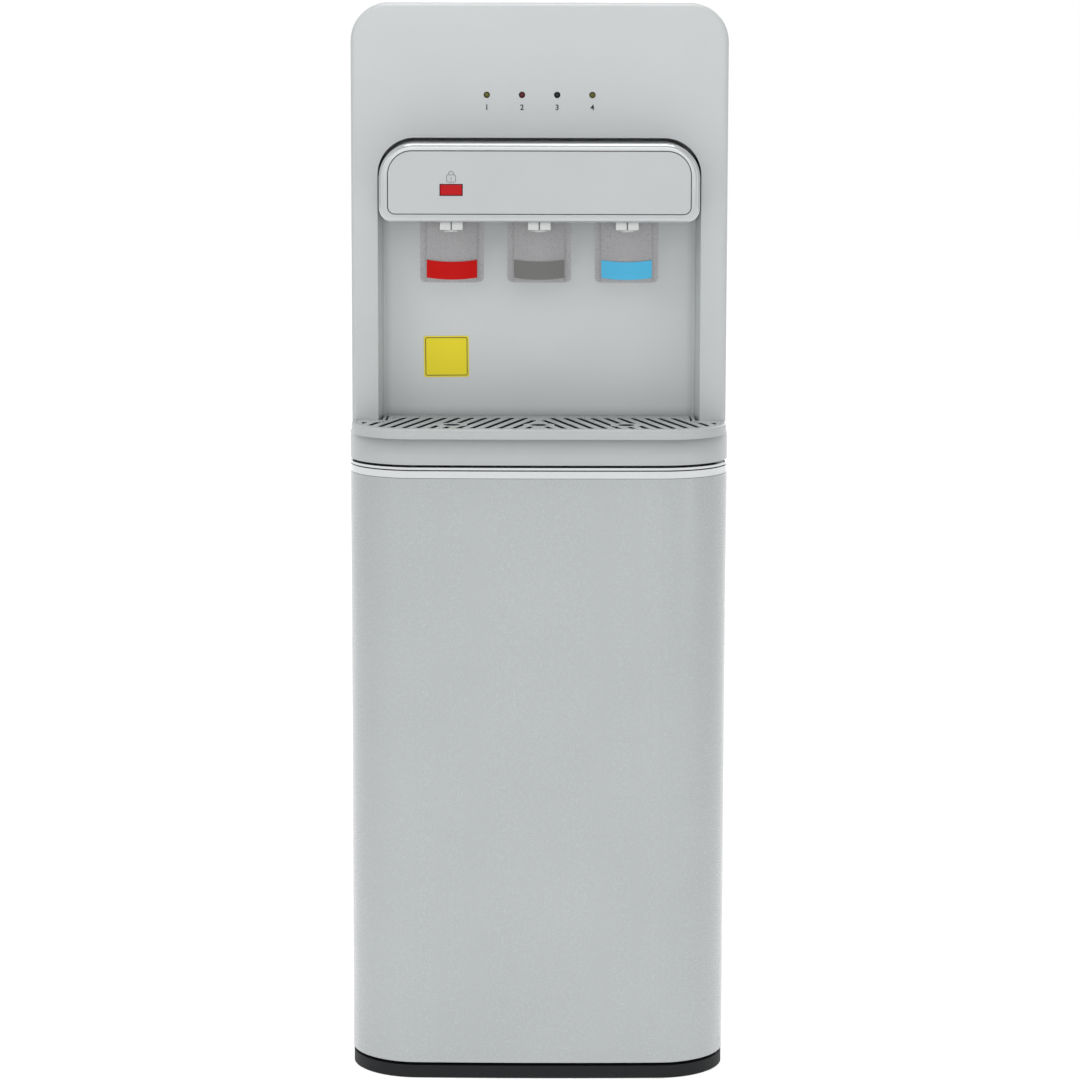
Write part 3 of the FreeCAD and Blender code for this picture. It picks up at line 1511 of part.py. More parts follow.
def refrigerant_pipes():
    """Discharge and suction pipes, the liquid line to the drier and the thin capillary."""
    end_x = condenser_right + 1
    out_x = end_x + d.discharge_reach
    plate_top = compressor_foot + d.compressor_plate
    out_z = plate_top + d.discharge_rise
    discharge = [
        (end_x, condenser_y, d.condenser_low),
        (out_x, condenser_y, d.condenser_low),
        (out_x, condenser_y, out_z),
        (out_x, compressor_y, out_z),
        (compressor_x + d.compressor_radius, compressor_y, out_z),
    ]
    suction = [
        (compressor_pipe_x, compressor_y, compressor_top),
        (compressor_pipe_x, compressor_y, band_bottom),
    ]
    turn_z = drier_top + d.liquid_drop
    liquid = [
        (condenser_left - 1, condenser_y, condenser_top),
        (drier_x, condenser_y, condenser_top),
        (drier_x, condenser_y, turn_z),
        (drier_x, drier_y, turn_z),
        (drier_x, drier_y, drier_top),
    ]
    capillary = [
        (drier_x, drier_y, d.drier_low),
        (drier_x, drier_y, d.capillary_low),
        (d.capillary_x, drier_y, d.capillary_low),
        (d.capillary_x, capillary_y, d.capillary_low),
        (d.capillary_x, capillary_y, band_bottom),
    ]
    bend = d.pipe_bend.value
    wide = [pipe(discharge, d.condenser_tube, bend), pipe(liquid, d.condenser_tube, bend)]
    other = [pipe(suction, d.suction_radius, bend), pipe(capillary, d.capillary_radius, bend)]
    return solid("refrigerant_pipes", Part.makeCompound(wide + other))


# ---------------------------------------------------------------- tanks and water
def jacket(name, x, y, radius, bore, top):
    blank = rod(f"{name}_blank", "Z", (x, y), (band_bottom, top), radius)
    room = rod(f"{name}_room", "Z", (x, y), (tank_floor, top + 1), bore)
    return cut(name, blank, room)


def tank(name, x, y, radius, top):
    """A thin steel vessel with rounded ends and an inlet hole in its top."""
    thin = d.tank_wall
    body = prism(name + "_blank", "XY", (tank_floor, top), circles=[(x, y, radius)])
    soften(body, d.tank_round, lambda e: flat_at(e, "Z", tank_floor) or flat_at(e, "Z", top))
    inside = (tank_floor + thin, top - thin)
    room = prism(name + "_room", "XY", inside, circles=[(x, y, radius - thin)])
    soften(room, d.tank_round - thin, lambda e: flat_at(e, "Z", inside[0]) or flat_at(e, "Z", inside[1]))
    inlet = rod(name + "_inlet", "Z", (x, y), (top - 3 * thin, top + 1), d.hose_radius - 1)
    return cut(name, body, room, inlet)


def evaporator_coil():
    """The cooling coil: one tube wound round the cold tank in quarter turns."""
    low = tank_floor + 4 * d.coil_radius
    centre = FreeCAD.Vector(cold_x.value, cold_y.value, low.value)
    winding = (cold_radius + d.coil_radius + d.coil_gap).value
    rise = (cold_top - low).value * d.coil_spread.value / (4 * int(d.coil_turns.value))
    steps = int(d.coil_turns.value) * 4

    def spot(quarter):
        angle = quarter * math.pi / 2
        return centre + FreeCAD.Vector(winding * math.cos(angle), winding * math.sin(angle), quarter * rise)

    arcs = [Part.Arc(spot(n), spot(n + 0.5), spot(n + 1)).toShape() for n in range(steps)]
    heading = FreeCAD.Vector(0, winding, 2 * rise / math.pi)
    section = Part.Wire(Part.makeCircle(d.coil_radius.value, spot(0), heading))
    return solid("evaporator_coil", Part.Wire(arcs).makePipeShell([section], True, False))


def thermostats():
    """A round cut-out on each tank's top, off its inlet."""
    radius = d.thermostat_radius
    aside = 2 * radius
    hot_spot, cold_spot = (hot_x - aside, hot_y + aside), (cold_x + aside, cold_y + aside)
    discs = [
        rod("hot_thermostat", "Z", hot_spot, (hot_top, hot_top + radius), radius),
        rod("cold_thermostat", "Z", cold_spot, (cold_top, cold_top + radius), radius),
    ]
    return group("thermostats", discs)


def water_pump():
    """An upright pump: a motor can on its head block, with inlet and outlet stubs."""
    x, y, reach = pump_x, pump_y, d.pump_radius
    top, head_top = band_bottom + d.pump_height, band_bottom + d.pump_head
    head = box("pump_head", (x - reach, x + reach), (y - reach, y + reach), (band_bottom, head_top))
    can = rod("pump_can", "Z", (x, y), (head_top, top), reach - d.pump_shoulder)
    inlet_spot = (y, band_bottom + d.intake_level)
    inlet = rod("pump_inlet", "X", inlet_spot, (x - reach - d.pump_stub, x - reach), d.hose_radius)
    outlet = rod("pump_outlet", "Z", (x, y), (top, top + 2 * d.pump_stub), d.hose_radius)
    return fuse("water_pump", head, can, inlet, outlet)


def water_hoses():
    """Silicone hoses: probe to pump, pump to cold tank, and one to each tap's tail."""
    pump_top = band_bottom + d.pump_height + 2 * d.pump_stub
    stub_x = pump_x - d.pump_radius - d.pump_stub
    intake_z = band_bottom + d.intake_level
    turn_y = tail_y + d.hose_room
    outlet_z = band_bottom + d.cold_outlet
    aside = cold_radius / 2
    room_x, room_y = cold_x - aside + d.room_feed_shift, cold_y - aside
    intake = [(probe_x, pump_y, probe_hose), (probe_x, pump_y, intake_z), (stub_x, pump_y, intake_z)]
    feed = [
        (pump_x, pump_y, pump_top),
        (pump_x, pump_y, hose_level),
        (cold_x, pump_y, hose_level),
        (cold_x, cold_y, hose_level),
        (cold_x, cold_y, cold_top),
    ]
    cold = [
        (taps["cold"], cold_y - cold_jacket, outlet_z),
        (taps["cold"], turn_y, outlet_z),
        (taps["cold"], turn_y, inlet_level),
        (taps["cold"], tail_y, inlet_level),
    ]
    room = [
        (taps["room"], tail_y, inlet_level),
        (taps["room"], room_y, inlet_level),
        (room_x, room_y, inlet_level),
        (room_x, room_y, cold_top),
    ]
    hot_tap = taps["hot"]
    hot = [(hot_tap, tail_y, inlet_level), (hot_tap, hot_y, inlet_level), (hot_tap, hot_y, hot_top)]
    radius, bend = d.hose_radius, d.hose_bend.value
    wide = [pipe(feed, radius, bend), pipe(hot, radius, bend), pipe(room, radius, bend)]
    tight = [pipe(intake, radius, bend / 2), pipe(cold, radius, bend / 2)]
    return solid("water_hoses", Part.makeCompound(wide + tight))


def bottle_probe():
    """The dip tube with the cap that seals the bottle's neck and a hose stub on top."""
    spot = (probe_x, pump_y)
    cap_top = probe_top + d.cap_rise
    tube = rod("probe_tube", "Z", spot, (d.probe_bottom, probe_top), d.probe_radius)
    tip = rod("probe_tip", "Z", spot, (d.probe_bottom - d.probe_tip, d.probe_bottom), d.probe_radius * 1.5)
    cap = prism("probe_cap", "XY", (probe_top, cap_top), circles=[(*spot, d.cap_radius)])
    soften(cap, d.liner_wall, lambda e: flat_at(e, "Z", cap_top))
    stub = rod("probe_stub", "Z", spot, (cap_top, probe_hose), d.hose_radius)
    return fuse("bottle_probe", tube, tip, cap, stub)


def probe_holder():
    """A spring clip on the left side that parks the probe."""
    x, y = probe_x, pump_y
    z = (d.clip_level, d.clip_level + d.clip_height)
    outer, inner = d.probe_radius * 1.5, d.probe_radius + d.fit_gap
    half = d.clip_width / 2
    circle = prism("clip_ring", "XY", z, circles=[(x, y, outer), (x, y, inner)])
    mouth = box("clip_mouth", (x, x + 2 * outer), (y - 0.7 * half, y + 0.7 * half), (z[0] - 1, z[1] + 1))
    width = (y - half, y + half)
    arm = box("clip_arm", (-inner_half, x - inner - d.sheet), width, z)
    foot_z = (z[0] - d.clip_height, z[1] + d.clip_height)
    foot = box("clip_foot", (-inner_half, d.liner_wall - inner_half), width, foot_z)
    return fuse("probe_holder", cut("clip_open", circle, mouth), arm, foot)


def control_board():
    """The main board on the left side panel, with its relay, transformer and capacitor."""
    board_x = d.board_stand - inner_half
    face = board_x + d.board_thickness
    begin, top = pump_y + d.main_board_setback, cap_bottom - d.main_board_drop
    y, z = (begin, begin + d.main_board_length), (top - d.main_board_height, top)
    pieces = [box("main_board", (board_x, face), y, z)]
    for n, (py, pz) in enumerate(((y[0], z[0]), (y[1], z[0]), (y[0], z[1]), (y[1], z[1]))):
        inward = (1 if n % 2 == 0 else -1, 1 if n < 2 else -1)
        spot = (py + inward[0] * 2 * d.stand_radius, pz + inward[1] * 2 * d.stand_radius)
        pieces.append(rod(f"stand_{n}", "X", spot, (-inner_half, board_x), d.stand_radius))
    low = z[0] + 2 * d.stand_radius + d.stand_radius * 2
    middle = (y[0] + y[1]) / 2
    end = middle - d.stand_radius
    pieces.append(box(
        "transformer", (face, face + d.transformer_depth), (end - d.transformer_length, end),
        (low, low + d.transformer_height),
    ))
    begin = middle + d.stand_radius
    pieces.append(box(
        "relay", (face, face + d.relay_depth), (begin, begin + d.relay_length), (low, low + d.relay_depth),
    ))
    pieces.append(rod(
        "capacitor", "X", (begin + d.relay_length / 2, low + 2.5 * d.relay_depth),
        (face, face + d.capacitor_length), d.relay_depth / 2,
    ))
    return fuse("control_board", *pieces)


# ---------------------------------------------------------------- rear
def switch_levels():
    return {"hot": switch_high, "cold": switch_high - d.switch_step}


def switch_frame(name, level, edge, y):
    """A block round a switch's middle that reaches past the rocker by an edge."""
    half_x, half_z = d.rocker_width / 2 + edge, d.rocker_height / 2 + edge
    return box(name, (switch_x - half_x, switch_x + half_x), y, (level - half_z, level + half_z))


def rear_panel():
    """The rear cover with its louvres, switch windows, drain hole and cord hole."""
    half = inner_half - d.fit_gap
    skin = (frame_back, panel_back)
    outline = rectangle((-half, half), (d.rear_panel_bottom, cap_bottom - d.sheet))
    circles = [(drain_x, drain_level, d.drain_radius), (switch_x, d.gland_level, d.gland_radius)]
    plate = prism("rear_plate", "XZ", skin, outline, circles=circles)
    past = (skin[0] - PAST, skin[1] + PAST)
    edge = d.bezel_rim - d.liner_wall
    windows = [switch_frame(f"{key}_window_rear", z, edge, past) for key, z in switch_levels().items()]
    across = (d.louvre_left - inner_half, inner_half - d.louvre_right)
    for n in range(int(d.louvre_count.value)):
        z = cap_bottom - d.louvre_drop + n * d.louvre_pitch
        windows.append(box(f"louvre_{n}", across, past, (z, z + d.louvre_height)))
    return cut("rear_panel", plate, *windows)


def rocker_axis():
    return panel_back - d.rocker_sink


def switch_bezels():
    """The frames that the rockers sit in, each with a bore for the rocker's pins."""
    frames = []
    for key, z in switch_levels().items():
        back, depth = panel_back, d.bezel_depth
        edge = d.bezel_rim - d.liner_wall
        rim = switch_frame(f"{key}_bezel_rim", z, d.bezel_rim, (back, back + d.liner_wall))
        well = switch_frame(f"{key}_bezel_well", z, edge, (back - depth, back))
        room = switch_frame(f"{key}_bezel_room", z, d.bezel_play, (back - 0.75 * depth, back + d.bezel_rim))
        reach = d.rocker_width / 2 + d.bezel_rim
        bore = rod(
            f"{key}_bezel_bore", "X", (rocker_axis(), z), (switch_x - reach, switch_x + reach),
            d.rocker_pin + d.pin_clearance,
        )
        frames.append(cut(f"{key}_bezel", fuse(f"{key}_bezel_blank", rim, well), room, bore))
    return group("switch_bezels", frames)


def rocker_switch(key):
    """A rocker that lies tipped to one side, with a valley across its face and a pin each side."""
    z = switch_levels()[key]
    half, axis = d.rocker_height / 2 - d.rocker_play, rocker_axis()
    root_y, peak, valley = axis - d.rocker_pin * 2, axis + d.rocker_height / 3, axis + d.rocker_height / 4
    profile = [
        (root_y, z - half / 2),
        (peak, z - half),
        (valley, z),
        (peak, z + half),
        (root_y, z + half / 2),
    ]
    reach = d.rocker_width / 2
    rocker = prism(f"{key}_rocker_body", "YZ", (switch_x - reach, switch_x + reach), profile)
    centre = FreeCAD.Vector(switch_x.value, axis.value, z.value)
    tilt = FreeCAD.Rotation(FreeCAD.Vector(1, 0, 0), -d.rocker_tilt.value)
    rocker.Placement = FreeCAD.Placement(FreeCAD.Vector(), tilt, centre)
    reach = reach + d.rocker_pin
    pin = rod(f"{key}_rocker_pin", "X", (axis, z), (switch_x - reach, switch_x + reach), d.rocker_pin)
    return fuse(f"rocker_switch_{key}", rocker, pin)


def cord_gland():
    """The bare mains inlet bush in the rear panel."""
    spot = (switch_x, d.gland_level)
    inside, outside = frame_back - d.gland_radius, panel_back + 1.5 * d.gland_bore
    body = rod("gland_body", "Y", spot, (inside, outside), d.gland_radius)
    flange = rod("gland_flange", "Y", spot, (panel_back, panel_back + d.wall), d.gland_radius * 1.5)
    bore = rod("gland_through", "Y", spot, (inside - 1, outside + 1), d.gland_bore)
    return cut("cord_gland", fuse("gland_blank", body, flange), bore)


def drain_end():
    return panel_back + 2 * d.liner_wall


def hot_tank():
    """The hot tank with its drain pipe, which leaves through the jacket and the rear panel."""
    spot = (drain_x, drain_level)
    vessel = tank("hot_vessel", hot_x, hot_y, d.hot_radius, hot_top)
    aside = hot_x - drain_x
    begin = hot_y + root(d.hot_radius * d.hot_radius - aside * aside) - d.tank_wall
    pipe_out = rod("drain_blank", "Y", spot, (begin, drain_end()), d.drain_radius)
    bore = rod("drain_through", "Y", spot, (hot_y, drain_end() + 1), d.drain_bore)
    return cut("hot_tank", fuse("hot_vessel_piped", vessel, pipe_out), bore)


def hot_tank_insulation():
    """The hot tank's jacket with the hole that its drain pipe passes."""
    cup = jacket("hot_jacket", hot_x, hot_y, d.hot_jacket, d.hot_radius + d.fit_gap, hot_top)
    back = hot_y + d.hot_jacket + 1
    hole = rod("jacket_hole", "Y", (drain_x, drain_level), (hot_y, back), d.drain_radius + d.fit_gap)
    return cut("hot_tank_insulation", cup, hole)


def drain_plug():
    """A push-in plug that closes the drain pipe's end."""
    spot, end = (drain_x, drain_level), drain_end()
    tip = end + 2 * d.drain_bore
    cap = prism("plug_cap", "XZ", (end + d.fit_gap, tip), circles=[(*spot, d.drain_radius + d.plug_rim)])
    soften(cap, d.shelf_gauge, lambda e: flat_at(e, "Y", tip))
    stem = rod("plug_stem", "Y", spot, (end - d.plug_stem, end + d.fit_gap), d.drain_bore - d.fit_gap)
    return fuse("drain_plug", cap, stem)


def rear_screws():
    """Dome-headed screws in two upright rows, evenly spread over the rear panel."""
    screws = []
    rows = int(d.screw_rows.value)
    low, high = d.rear_panel_bottom + d.screw_margin, cap_bottom - d.screw_margin
    tip = panel_back + 0.6 * d.screw_radius
    for side in (-1, 1):
        x = side * (inner_half - d.screw_inset)
        for n in range(rows):
            z = low + (high - low) * n / (rows - 1)
            head = prism(f"screw_{side + 1}_{n}", "XZ", (panel_back, tip), circles=[(x, z, d.screw_radius)])
            screws.append(soften(head, 0.35 * d.screw_radius, lambda e: flat_at(e, "Y", tip)))
    return group("rear_screws", screws)


# ---------------------------------------------------------------- the cooler
parts = [
    base_pan(),
    rubber_feet(),
    side_panel("side_panel_left", -1),
    side_panel("side_panel_right", 1),
    top_cover(),
    head_fascia(),
    niche_liner(),
    mid_shelf(),
    front_band(),
    bay_rear_wall(),
    bay_floor(),
    tap_housing(),
    housing_front_plate(),
    child_lock_button(),
    *[tap_valve(key, x) for key, x in taps.items()],
    *[paddle(key, x) for key, x in taps.items()],
    *[paddle_insert(key, x) for key, x in taps.items()],
    paddle_pins(),
    status_lamps(),
    indicator_board(),
    drip_tray(),
    drip_grille(),
    door_outer_panel(),
    door_inner_liner(),
    door_top_trim(),
    door_bushes(),
    hinge_pins(),
    hinge_brackets(),
    door_magnets(),
    strike_plates(),
    compressor(),
    compressor_grommets(),
    condenser_coil(),
    condenser_mounts(),
    filter_drier(),
    refrigerant_pipes(),
    jacket("cold_tank_insulation", cold_x, cold_y, cold_jacket, cold_jacket - d.foam, cold_top),
    hot_tank_insulation(),
    tank("cold_tank", cold_x, cold_y, cold_radius, cold_top),
    hot_tank(),
    evaporator_coil(),
    thermostats(),
    water_pump(),
    water_hoses(),
    bottle_probe(),
    probe_holder(),
    control_board(),
    rear_panel(),
    switch_bezels(),
    rocker_switch("hot"),
    rocker_switch("cold"),
    cord_gland(),
    drain_plug(),
    rear_screws(),
]
doc.recompute()

# ---------------------------------------------------------------- checks and export
failed = [item.Name for item in doc.Objects if {"Invalid", "Error"} & set(item.State)]
if failed:
    raise RuntimeError(f"failed objects: {failed}")
os.makedirs("parts", exist_ok=True)
for part in parts:
    part.Label = part.Name
    if part.Shape.isNull() or not part.Shape.isValid():
        raise RuntimeError(f"bad shape: {part.Label}")
    part.Shape.exportStep(f"parts/{part.Label}.step")
    span = part.Shape.BoundBox
    print(f"{part.Label}: {len(part.Shape.Solids)} solids, {part.Shape.Volume / 1000:.1f} cm3, "
          f"{span.XLength:.1f} x {span.YLength:.1f} x {span.ZLength:.1f}")
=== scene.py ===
# %% [markdown]
# A bottom load water cooler, dressed for a studio picture.
#
# The cooler's solids come ready made, each in its real place and size. This lesson gives every one
# of them its finish, adds the small printed and stuck-on pieces, and sets up the light and camera.

import math

import bpy
import bmesh
from mathutils import Matrix, Vector


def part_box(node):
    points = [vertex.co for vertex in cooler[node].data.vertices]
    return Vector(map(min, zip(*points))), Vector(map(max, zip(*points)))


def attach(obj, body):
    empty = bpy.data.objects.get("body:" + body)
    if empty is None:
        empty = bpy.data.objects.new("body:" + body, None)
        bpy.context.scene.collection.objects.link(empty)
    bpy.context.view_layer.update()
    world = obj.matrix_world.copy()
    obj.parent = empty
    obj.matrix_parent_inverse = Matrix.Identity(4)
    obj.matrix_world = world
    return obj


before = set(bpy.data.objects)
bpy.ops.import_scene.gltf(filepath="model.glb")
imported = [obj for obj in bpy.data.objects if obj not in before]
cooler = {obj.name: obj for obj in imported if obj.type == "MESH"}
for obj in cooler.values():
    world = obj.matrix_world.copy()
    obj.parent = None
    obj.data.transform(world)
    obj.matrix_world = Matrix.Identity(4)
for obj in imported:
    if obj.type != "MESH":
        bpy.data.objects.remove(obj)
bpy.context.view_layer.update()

# %% [markdown]
# Lengths are easier to read in millimetres, while Blender works in metres. The front face of the
# bay door at its middle is the plane that depths are counted from, so a depth reads as a distance
# behind the door.

# %% Millimetres and depths
MM = 0.001
door_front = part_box("door_outer_panel")[0][1]


def depth(mm):
    """The Y of a point that lies this many millimetres behind the door's front."""
    return door_front + mm * MM


print("door front at y =", round(door_front, 4))

# %% [markdown]
# The camera stands at the photograph's place. It looks slightly down from the height of the
# cooler's top, so the grille is seen at a shallow angle. A long lens keeps the cabinet's sides
# nearly parallel, and a small lens shift puts the floor at the picture's lower edge.

# %% Camera
lens = bpy.data.cameras.new("photo_lens")
lens.sensor_width = 36
lens.lens = 116.67
lens.shift_y = -0.06
lens.clip_end = 50
camera = bpy.data.objects.new("photo_camera", lens)
tilt_down, roll = 0.133, 0.0022
beside, in_front, eye_height = 0.00117, 3.3036, 1.0358
look = Matrix.Rotation(math.pi / 2 - tilt_down, 4, "X") @ Matrix.Rotation(roll, 4, "Z")
camera.matrix_world = Matrix.Translation((beside, door_front - in_front, eye_height)) @ look
bpy.context.scene.collection.objects.link(camera)
bpy.context.scene.camera = camera
print("camera at", [round(v, 3) for v in camera.location])

# %% [markdown]
# A product photograph of grey plastic lives from its light. The room is a bright white tent, so
# the grey reads evenly. It could be modelled with walls, but a world whose brightness changes with
# direction does the same with no seams. Two dark flags stand just behind the cooler, one on each
# side: shiny trim and rounded edges need something dark to mirror, or they look like paper. Where
# the camera looks straight at the tent, a switch shows it plain white.

# %% Studio room
bpy.context.scene.view_settings.view_transform = "Standard"
room = bpy.data.worlds.new("white_tent")
bpy.context.scene.world = room
room.use_nodes = True
tent = room.node_tree
tent.nodes.clear()


def tent_node(kind, **inputs):
    """A node of the tent with its inputs set by name."""
    node = tent.nodes.new(kind)
    for key, value in inputs.items():
        node.inputs[key.replace("_", " ")].default_value = value
    return node


facing = tent.nodes.new("ShaderNodeTexCoord")
split = tent.nodes.new("ShaderNodeSeparateXYZ")
tent.links.new(facing.outputs["Generated"], split.inputs[0])
turn = tent.nodes.new("ShaderNodeMath")
turn.operation = "ARCTAN2"
tent.links.new(split.outputs["X"], turn.inputs[0])
tent.links.new(split.outputs["Y"], turn.inputs[1])
brightness = tent.nodes.new("ShaderNodeValToRGB")
share = tent.nodes.new("ShaderNodeMapRange")
share.inputs["From Min"].default_value = -math.pi
share.inputs["From Max"].default_value = math.pi
tent.links.new(turn.outputs[0], share.inputs["Value"])
tent.links.new(share.outputs["Result"], brightness.inputs["Fac"])
ramp = brightness.color_ramp


def tent_stops(stops):
    """Brightness by direction: 0 and 1 lie behind the camera, 0.25 left and 0.75 right."""
    while len(ramp.elements) > 1:
        ramp.elements.remove(ramp.elements[-1])
    ramp.elements[0].position = stops[0][0]
    ramp.elements[0].color = (stops[0][1],) * 3 + (1,)
    for place, level in stops[1:]:
        ramp.elements.new(place).color = (level,) * 3 + (1,)


tent_stops(
    [
        (0.0000, 0.66),  # behind the camera
        (0.0012, 0.66),
        (0.0018, 0.34),  # a dim sliver beside the lens
        (0.0039, 0.34),
        (0.0045, 0.66),
        (0.1200, 0.80),  # the left wall
        (0.2500, 0.82),
        (0.2620, 0.22),  # the left flag
        (0.3180, 0.22),
        (0.3300, 1.15),  # the bright wall behind the cooler
        (0.6700, 1.10),
        (0.6820, 0.20),  # the right flag
        (0.7380, 0.20),
        (0.7500, 0.68),  # the right wall
        (0.8800, 0.66),
        (1.0000, 0.66),
    ]
)
light_in = tent_node("ShaderNodeBackground", Strength=0.78)
tent.links.new(brightness.outputs["Color"], light_in.inputs["Color"])
seen = tent_node("ShaderNodeBackground", Color=(1, 1, 1, 1), Strength=1.0)
ray = tent.nodes.new("ShaderNodeLightPath")
either = tent.nodes.new("ShaderNodeMixShader")
tent.links.new(ray.outputs["Is Camera Ray"], either.inputs["Fac"])
tent.links.new(light_in.outputs[0], either.inputs[1])
tent.links.new(seen.outputs[0], either.inputs[2])
tent_out = tent.nodes.new("ShaderNodeOutputWorld")
tent.links.new(either.outputs[0], tent_out.inputs["Surface"])
print("tent with", len(ramp.elements), "brightness stops")

# %% [markdown]
# The tent alone looks flat, so soft panels give the light a direction. An area light is a glowing
# rectangle, and the larger it is, the softer its shadow, where a spot would draw a hard one. The
# left panel is the stronger of the two at the sides, so the right side falls off a little. Others
# stand in front, above and behind.

# %% Soft panels


def soft_panel(name, place, aim, size, watts):
    """A large rectangular light that points at a spot on the cooler."""
    data = bpy.data.lights.new(name, "AREA")
    data.shape = "RECTANGLE"
    data.size, data.size_y = size
    data.energy = watts
    panel = bpy.data.objects.new(name, data)
    panel.location = place
    panel.rotation_euler = (Vector(aim) - Vector(place)).to_track_quat("-Z", "Y").to_euler()
    bpy.context.scene.collection.objects.link(panel)
    return panel


panels = [
    soft_panel("left_panel", (-2.4, -2.6, 1.7), (0, 0, 0.62), (1.6, 2.2), 13),
    soft_panel("right_panel", (2.7, -2.2, 1.3), (0, 0, 0.55), (1.0, 2.0), 8),
    soft_panel("front_panel", (-0.1, -3.9, 1.5), (0, 0, 0.6), (1.8, 1.6), 18),
    soft_panel("top_panel", (0, -0.7, 3.0), (0, 0, 0.8), (1.6, 1.0), 32),
    soft_panel("rear_panel_light", (0.6, 3.0, 1.8), (0, 0, 0.5), (2.0, 2.0), 26),
]
print("panels:", [p.name for p in panels])

# %% [markdown]
# The floor is a wide pale sheet that runs out of sight. It glows a little, like a lit glass table,
# so it melts into the white behind it and only keeps a soft shadow. It isn't part of the cooler.

# %% Floor
sheet = bmesh.new()
bmesh.ops.create_grid(sheet, x_segments=1, y_segments=1, size=12)
floor_mesh = bpy.data.meshes.new("studio_floor")
sheet.to_mesh(floor_mesh)
sheet.free()
floor = bpy.data.objects.new("studio_floor", floor_mesh)
bpy.context.scene.collection.objects.link(floor)
floor_paint = bpy.data.materials.new("pale_floor")
floor_paint.use_nodes = True
floor_shader = floor_paint.node_tree.nodes["Principled BSDF"]
floor_shader.inputs["Base Color"].default_value = (0.60, 0.60, 0.60, 1)
floor_shader.inputs["Roughness"].default_value = 0.7
floor_shader.inputs["Emission Color"].default_value = (1, 1, 1, 1)
floor_shader.inputs["Emission Strength"].default_value = 0.66
floor_mesh.materials.append(floor_paint)
print("floor laid")

# %% [markdown]
# Most of the cooler is moulded plastic or painted sheet. Both have the same three small faults
# that make them look real: the tone drifts a little over a hand's breadth, the gloss varies in
# fine specks, and the surface has a faint skin like orange peel. One helper builds that finish
# from noise in real metres, so the grain has the same size on every piece.

# %% The moulded finish


def fresh(name):
    """A new material with only its shader and output left in it."""
    material = bpy.data.materials.new(name)
    material.use_nodes = True
    tree = material.node_tree
    return material, tree, tree.nodes["Principled BSDF"]


def noise(tree, scale, detail=2.0, stretch=(1, 1, 1), rough=0.5):
    """Noise in the cooler's own metres; stretch squeezes it along X, Y or Z."""
    place = tree.nodes.new("ShaderNodeTexCoord")
    fit = tree.nodes.new("ShaderNodeMapping")
    fit.inputs["Scale"].default_value = stretch
    cloud = tree.nodes.new("ShaderNodeTexNoise")
    cloud.inputs["Scale"].default_value = scale
    cloud.inputs["Detail"].default_value = detail
    cloud.inputs["Roughness"].default_value = rough
    tree.links.new(place.outputs["Object"], fit.inputs["Vector"])
    tree.links.new(fit.outputs["Vector"], cloud.inputs["Vector"])
    return cloud.outputs["Fac"]


def spread(tree, fac, low, high, start=0.3, end=0.7):
    """Turns a noise value into a range, such as a roughness between two limits."""
    change = tree.nodes.new("ShaderNodeMapRange")
    change.inputs["From Min"].default_value = start
    change.inputs["From Max"].default_value = end
    change.inputs["To Min"].default_value = low
    change.inputs["To Max"].default_value = high
    tree.links.new(fac, change.inputs["Value"])
    return change.outputs["Result"]


def two_tones(tree, fac, first, second):
    """Blends two colours by a value between 0 and 1."""
    blend = tree.nodes.new("ShaderNodeMix")
    blend.data_type = "RGBA"
    blend.inputs["A"].default_value = (*first, 1)
    blend.inputs["B"].default_value = (*second, 1)
    tree.links.new(fac, blend.inputs["Factor"])
    return blend.outputs["Result"]


def clouds(tree):
    """Soft clouds a hand's breadth across, from 0 to 1."""
    return spread(tree, noise(tree, 9, 3), 0, 1)


def speckled(tree, low, high):
    """A value that varies between two limits in specks finer than a millimetre."""
    return spread(tree, noise(tree, 1600, 1), low, high)


def skin_bump(tree, shader, height, strength, distance):
    """Roughens the surface with a height, without moving the mesh."""
    bump = tree.nodes.new("ShaderNodeBump")
    bump.inputs["Strength"].default_value = strength
    bump.inputs["Distance"].default_value = distance
    tree.links.new(height, bump.inputs["Height"])
    tree.links.new(bump.outputs["Normal"], shader.inputs["Normal"])


def paint_crease_shade(tree, colour, depth_of_shade, reach):
    """Paints shade into a colour: darker in creases and under overhangs, where less light reaches."""
    nearby = tree.nodes.new("ShaderNodeAmbientOcclusion")
    nearby.samples = 12
    nearby.inputs["Distance"].default_value = reach
    shade = tree.nodes.new("ShaderNodeMix")
    shade.data_type = "RGBA"
    shade.blend_type = "MULTIPLY"
    shade.inputs["Factor"].default_value = depth_of_shade
    tree.links.new(colour, shade.inputs["A"])
    tree.links.new(nearby.outputs["AO"], shade.inputs["B"])
    return shade.outputs["Result"]


def moulded(
    name, colour, gloss, drift=0.02, peel=900, peel_depth=0.00004, painted_shade=0, reach=0.012, **sockets
):
    """A moulded or painted finish: gloss is the roughness, drift how far the tone wanders."""
    material, tree, shader = fresh(name)
    lighter = tuple(min(1, c * (1 + drift)) for c in colour)
    darker = tuple(c * (1 - drift) for c in colour)
    paint = two_tones(tree, clouds(tree), darker, lighter)
    # This darkening is painted shade, in creases and under overhangs.
    if painted_shade:
        paint = paint_crease_shade(tree, paint, painted_shade, reach)
    tree.links.new(paint, shader.inputs["Base Color"])
    tree.links.new(speckled(tree, gloss - 0.04, gloss + 0.05), shader.inputs["Roughness"])
    skin_bump(tree, shader, noise(tree, peel, 2), 0.25, peel_depth)
    for key, value in sockets.items():
        shader.inputs[key.replace("_", " ")].default_value = value
    return material


def dress(material, *nodes):
    """Puts a finish on each of these solids."""
    for node in nodes:
        data = cooler[node].data
        if not data.materials:
            data.materials.append(material)
        for slot in range(len(data.materials)):
            data.materials[slot] = material


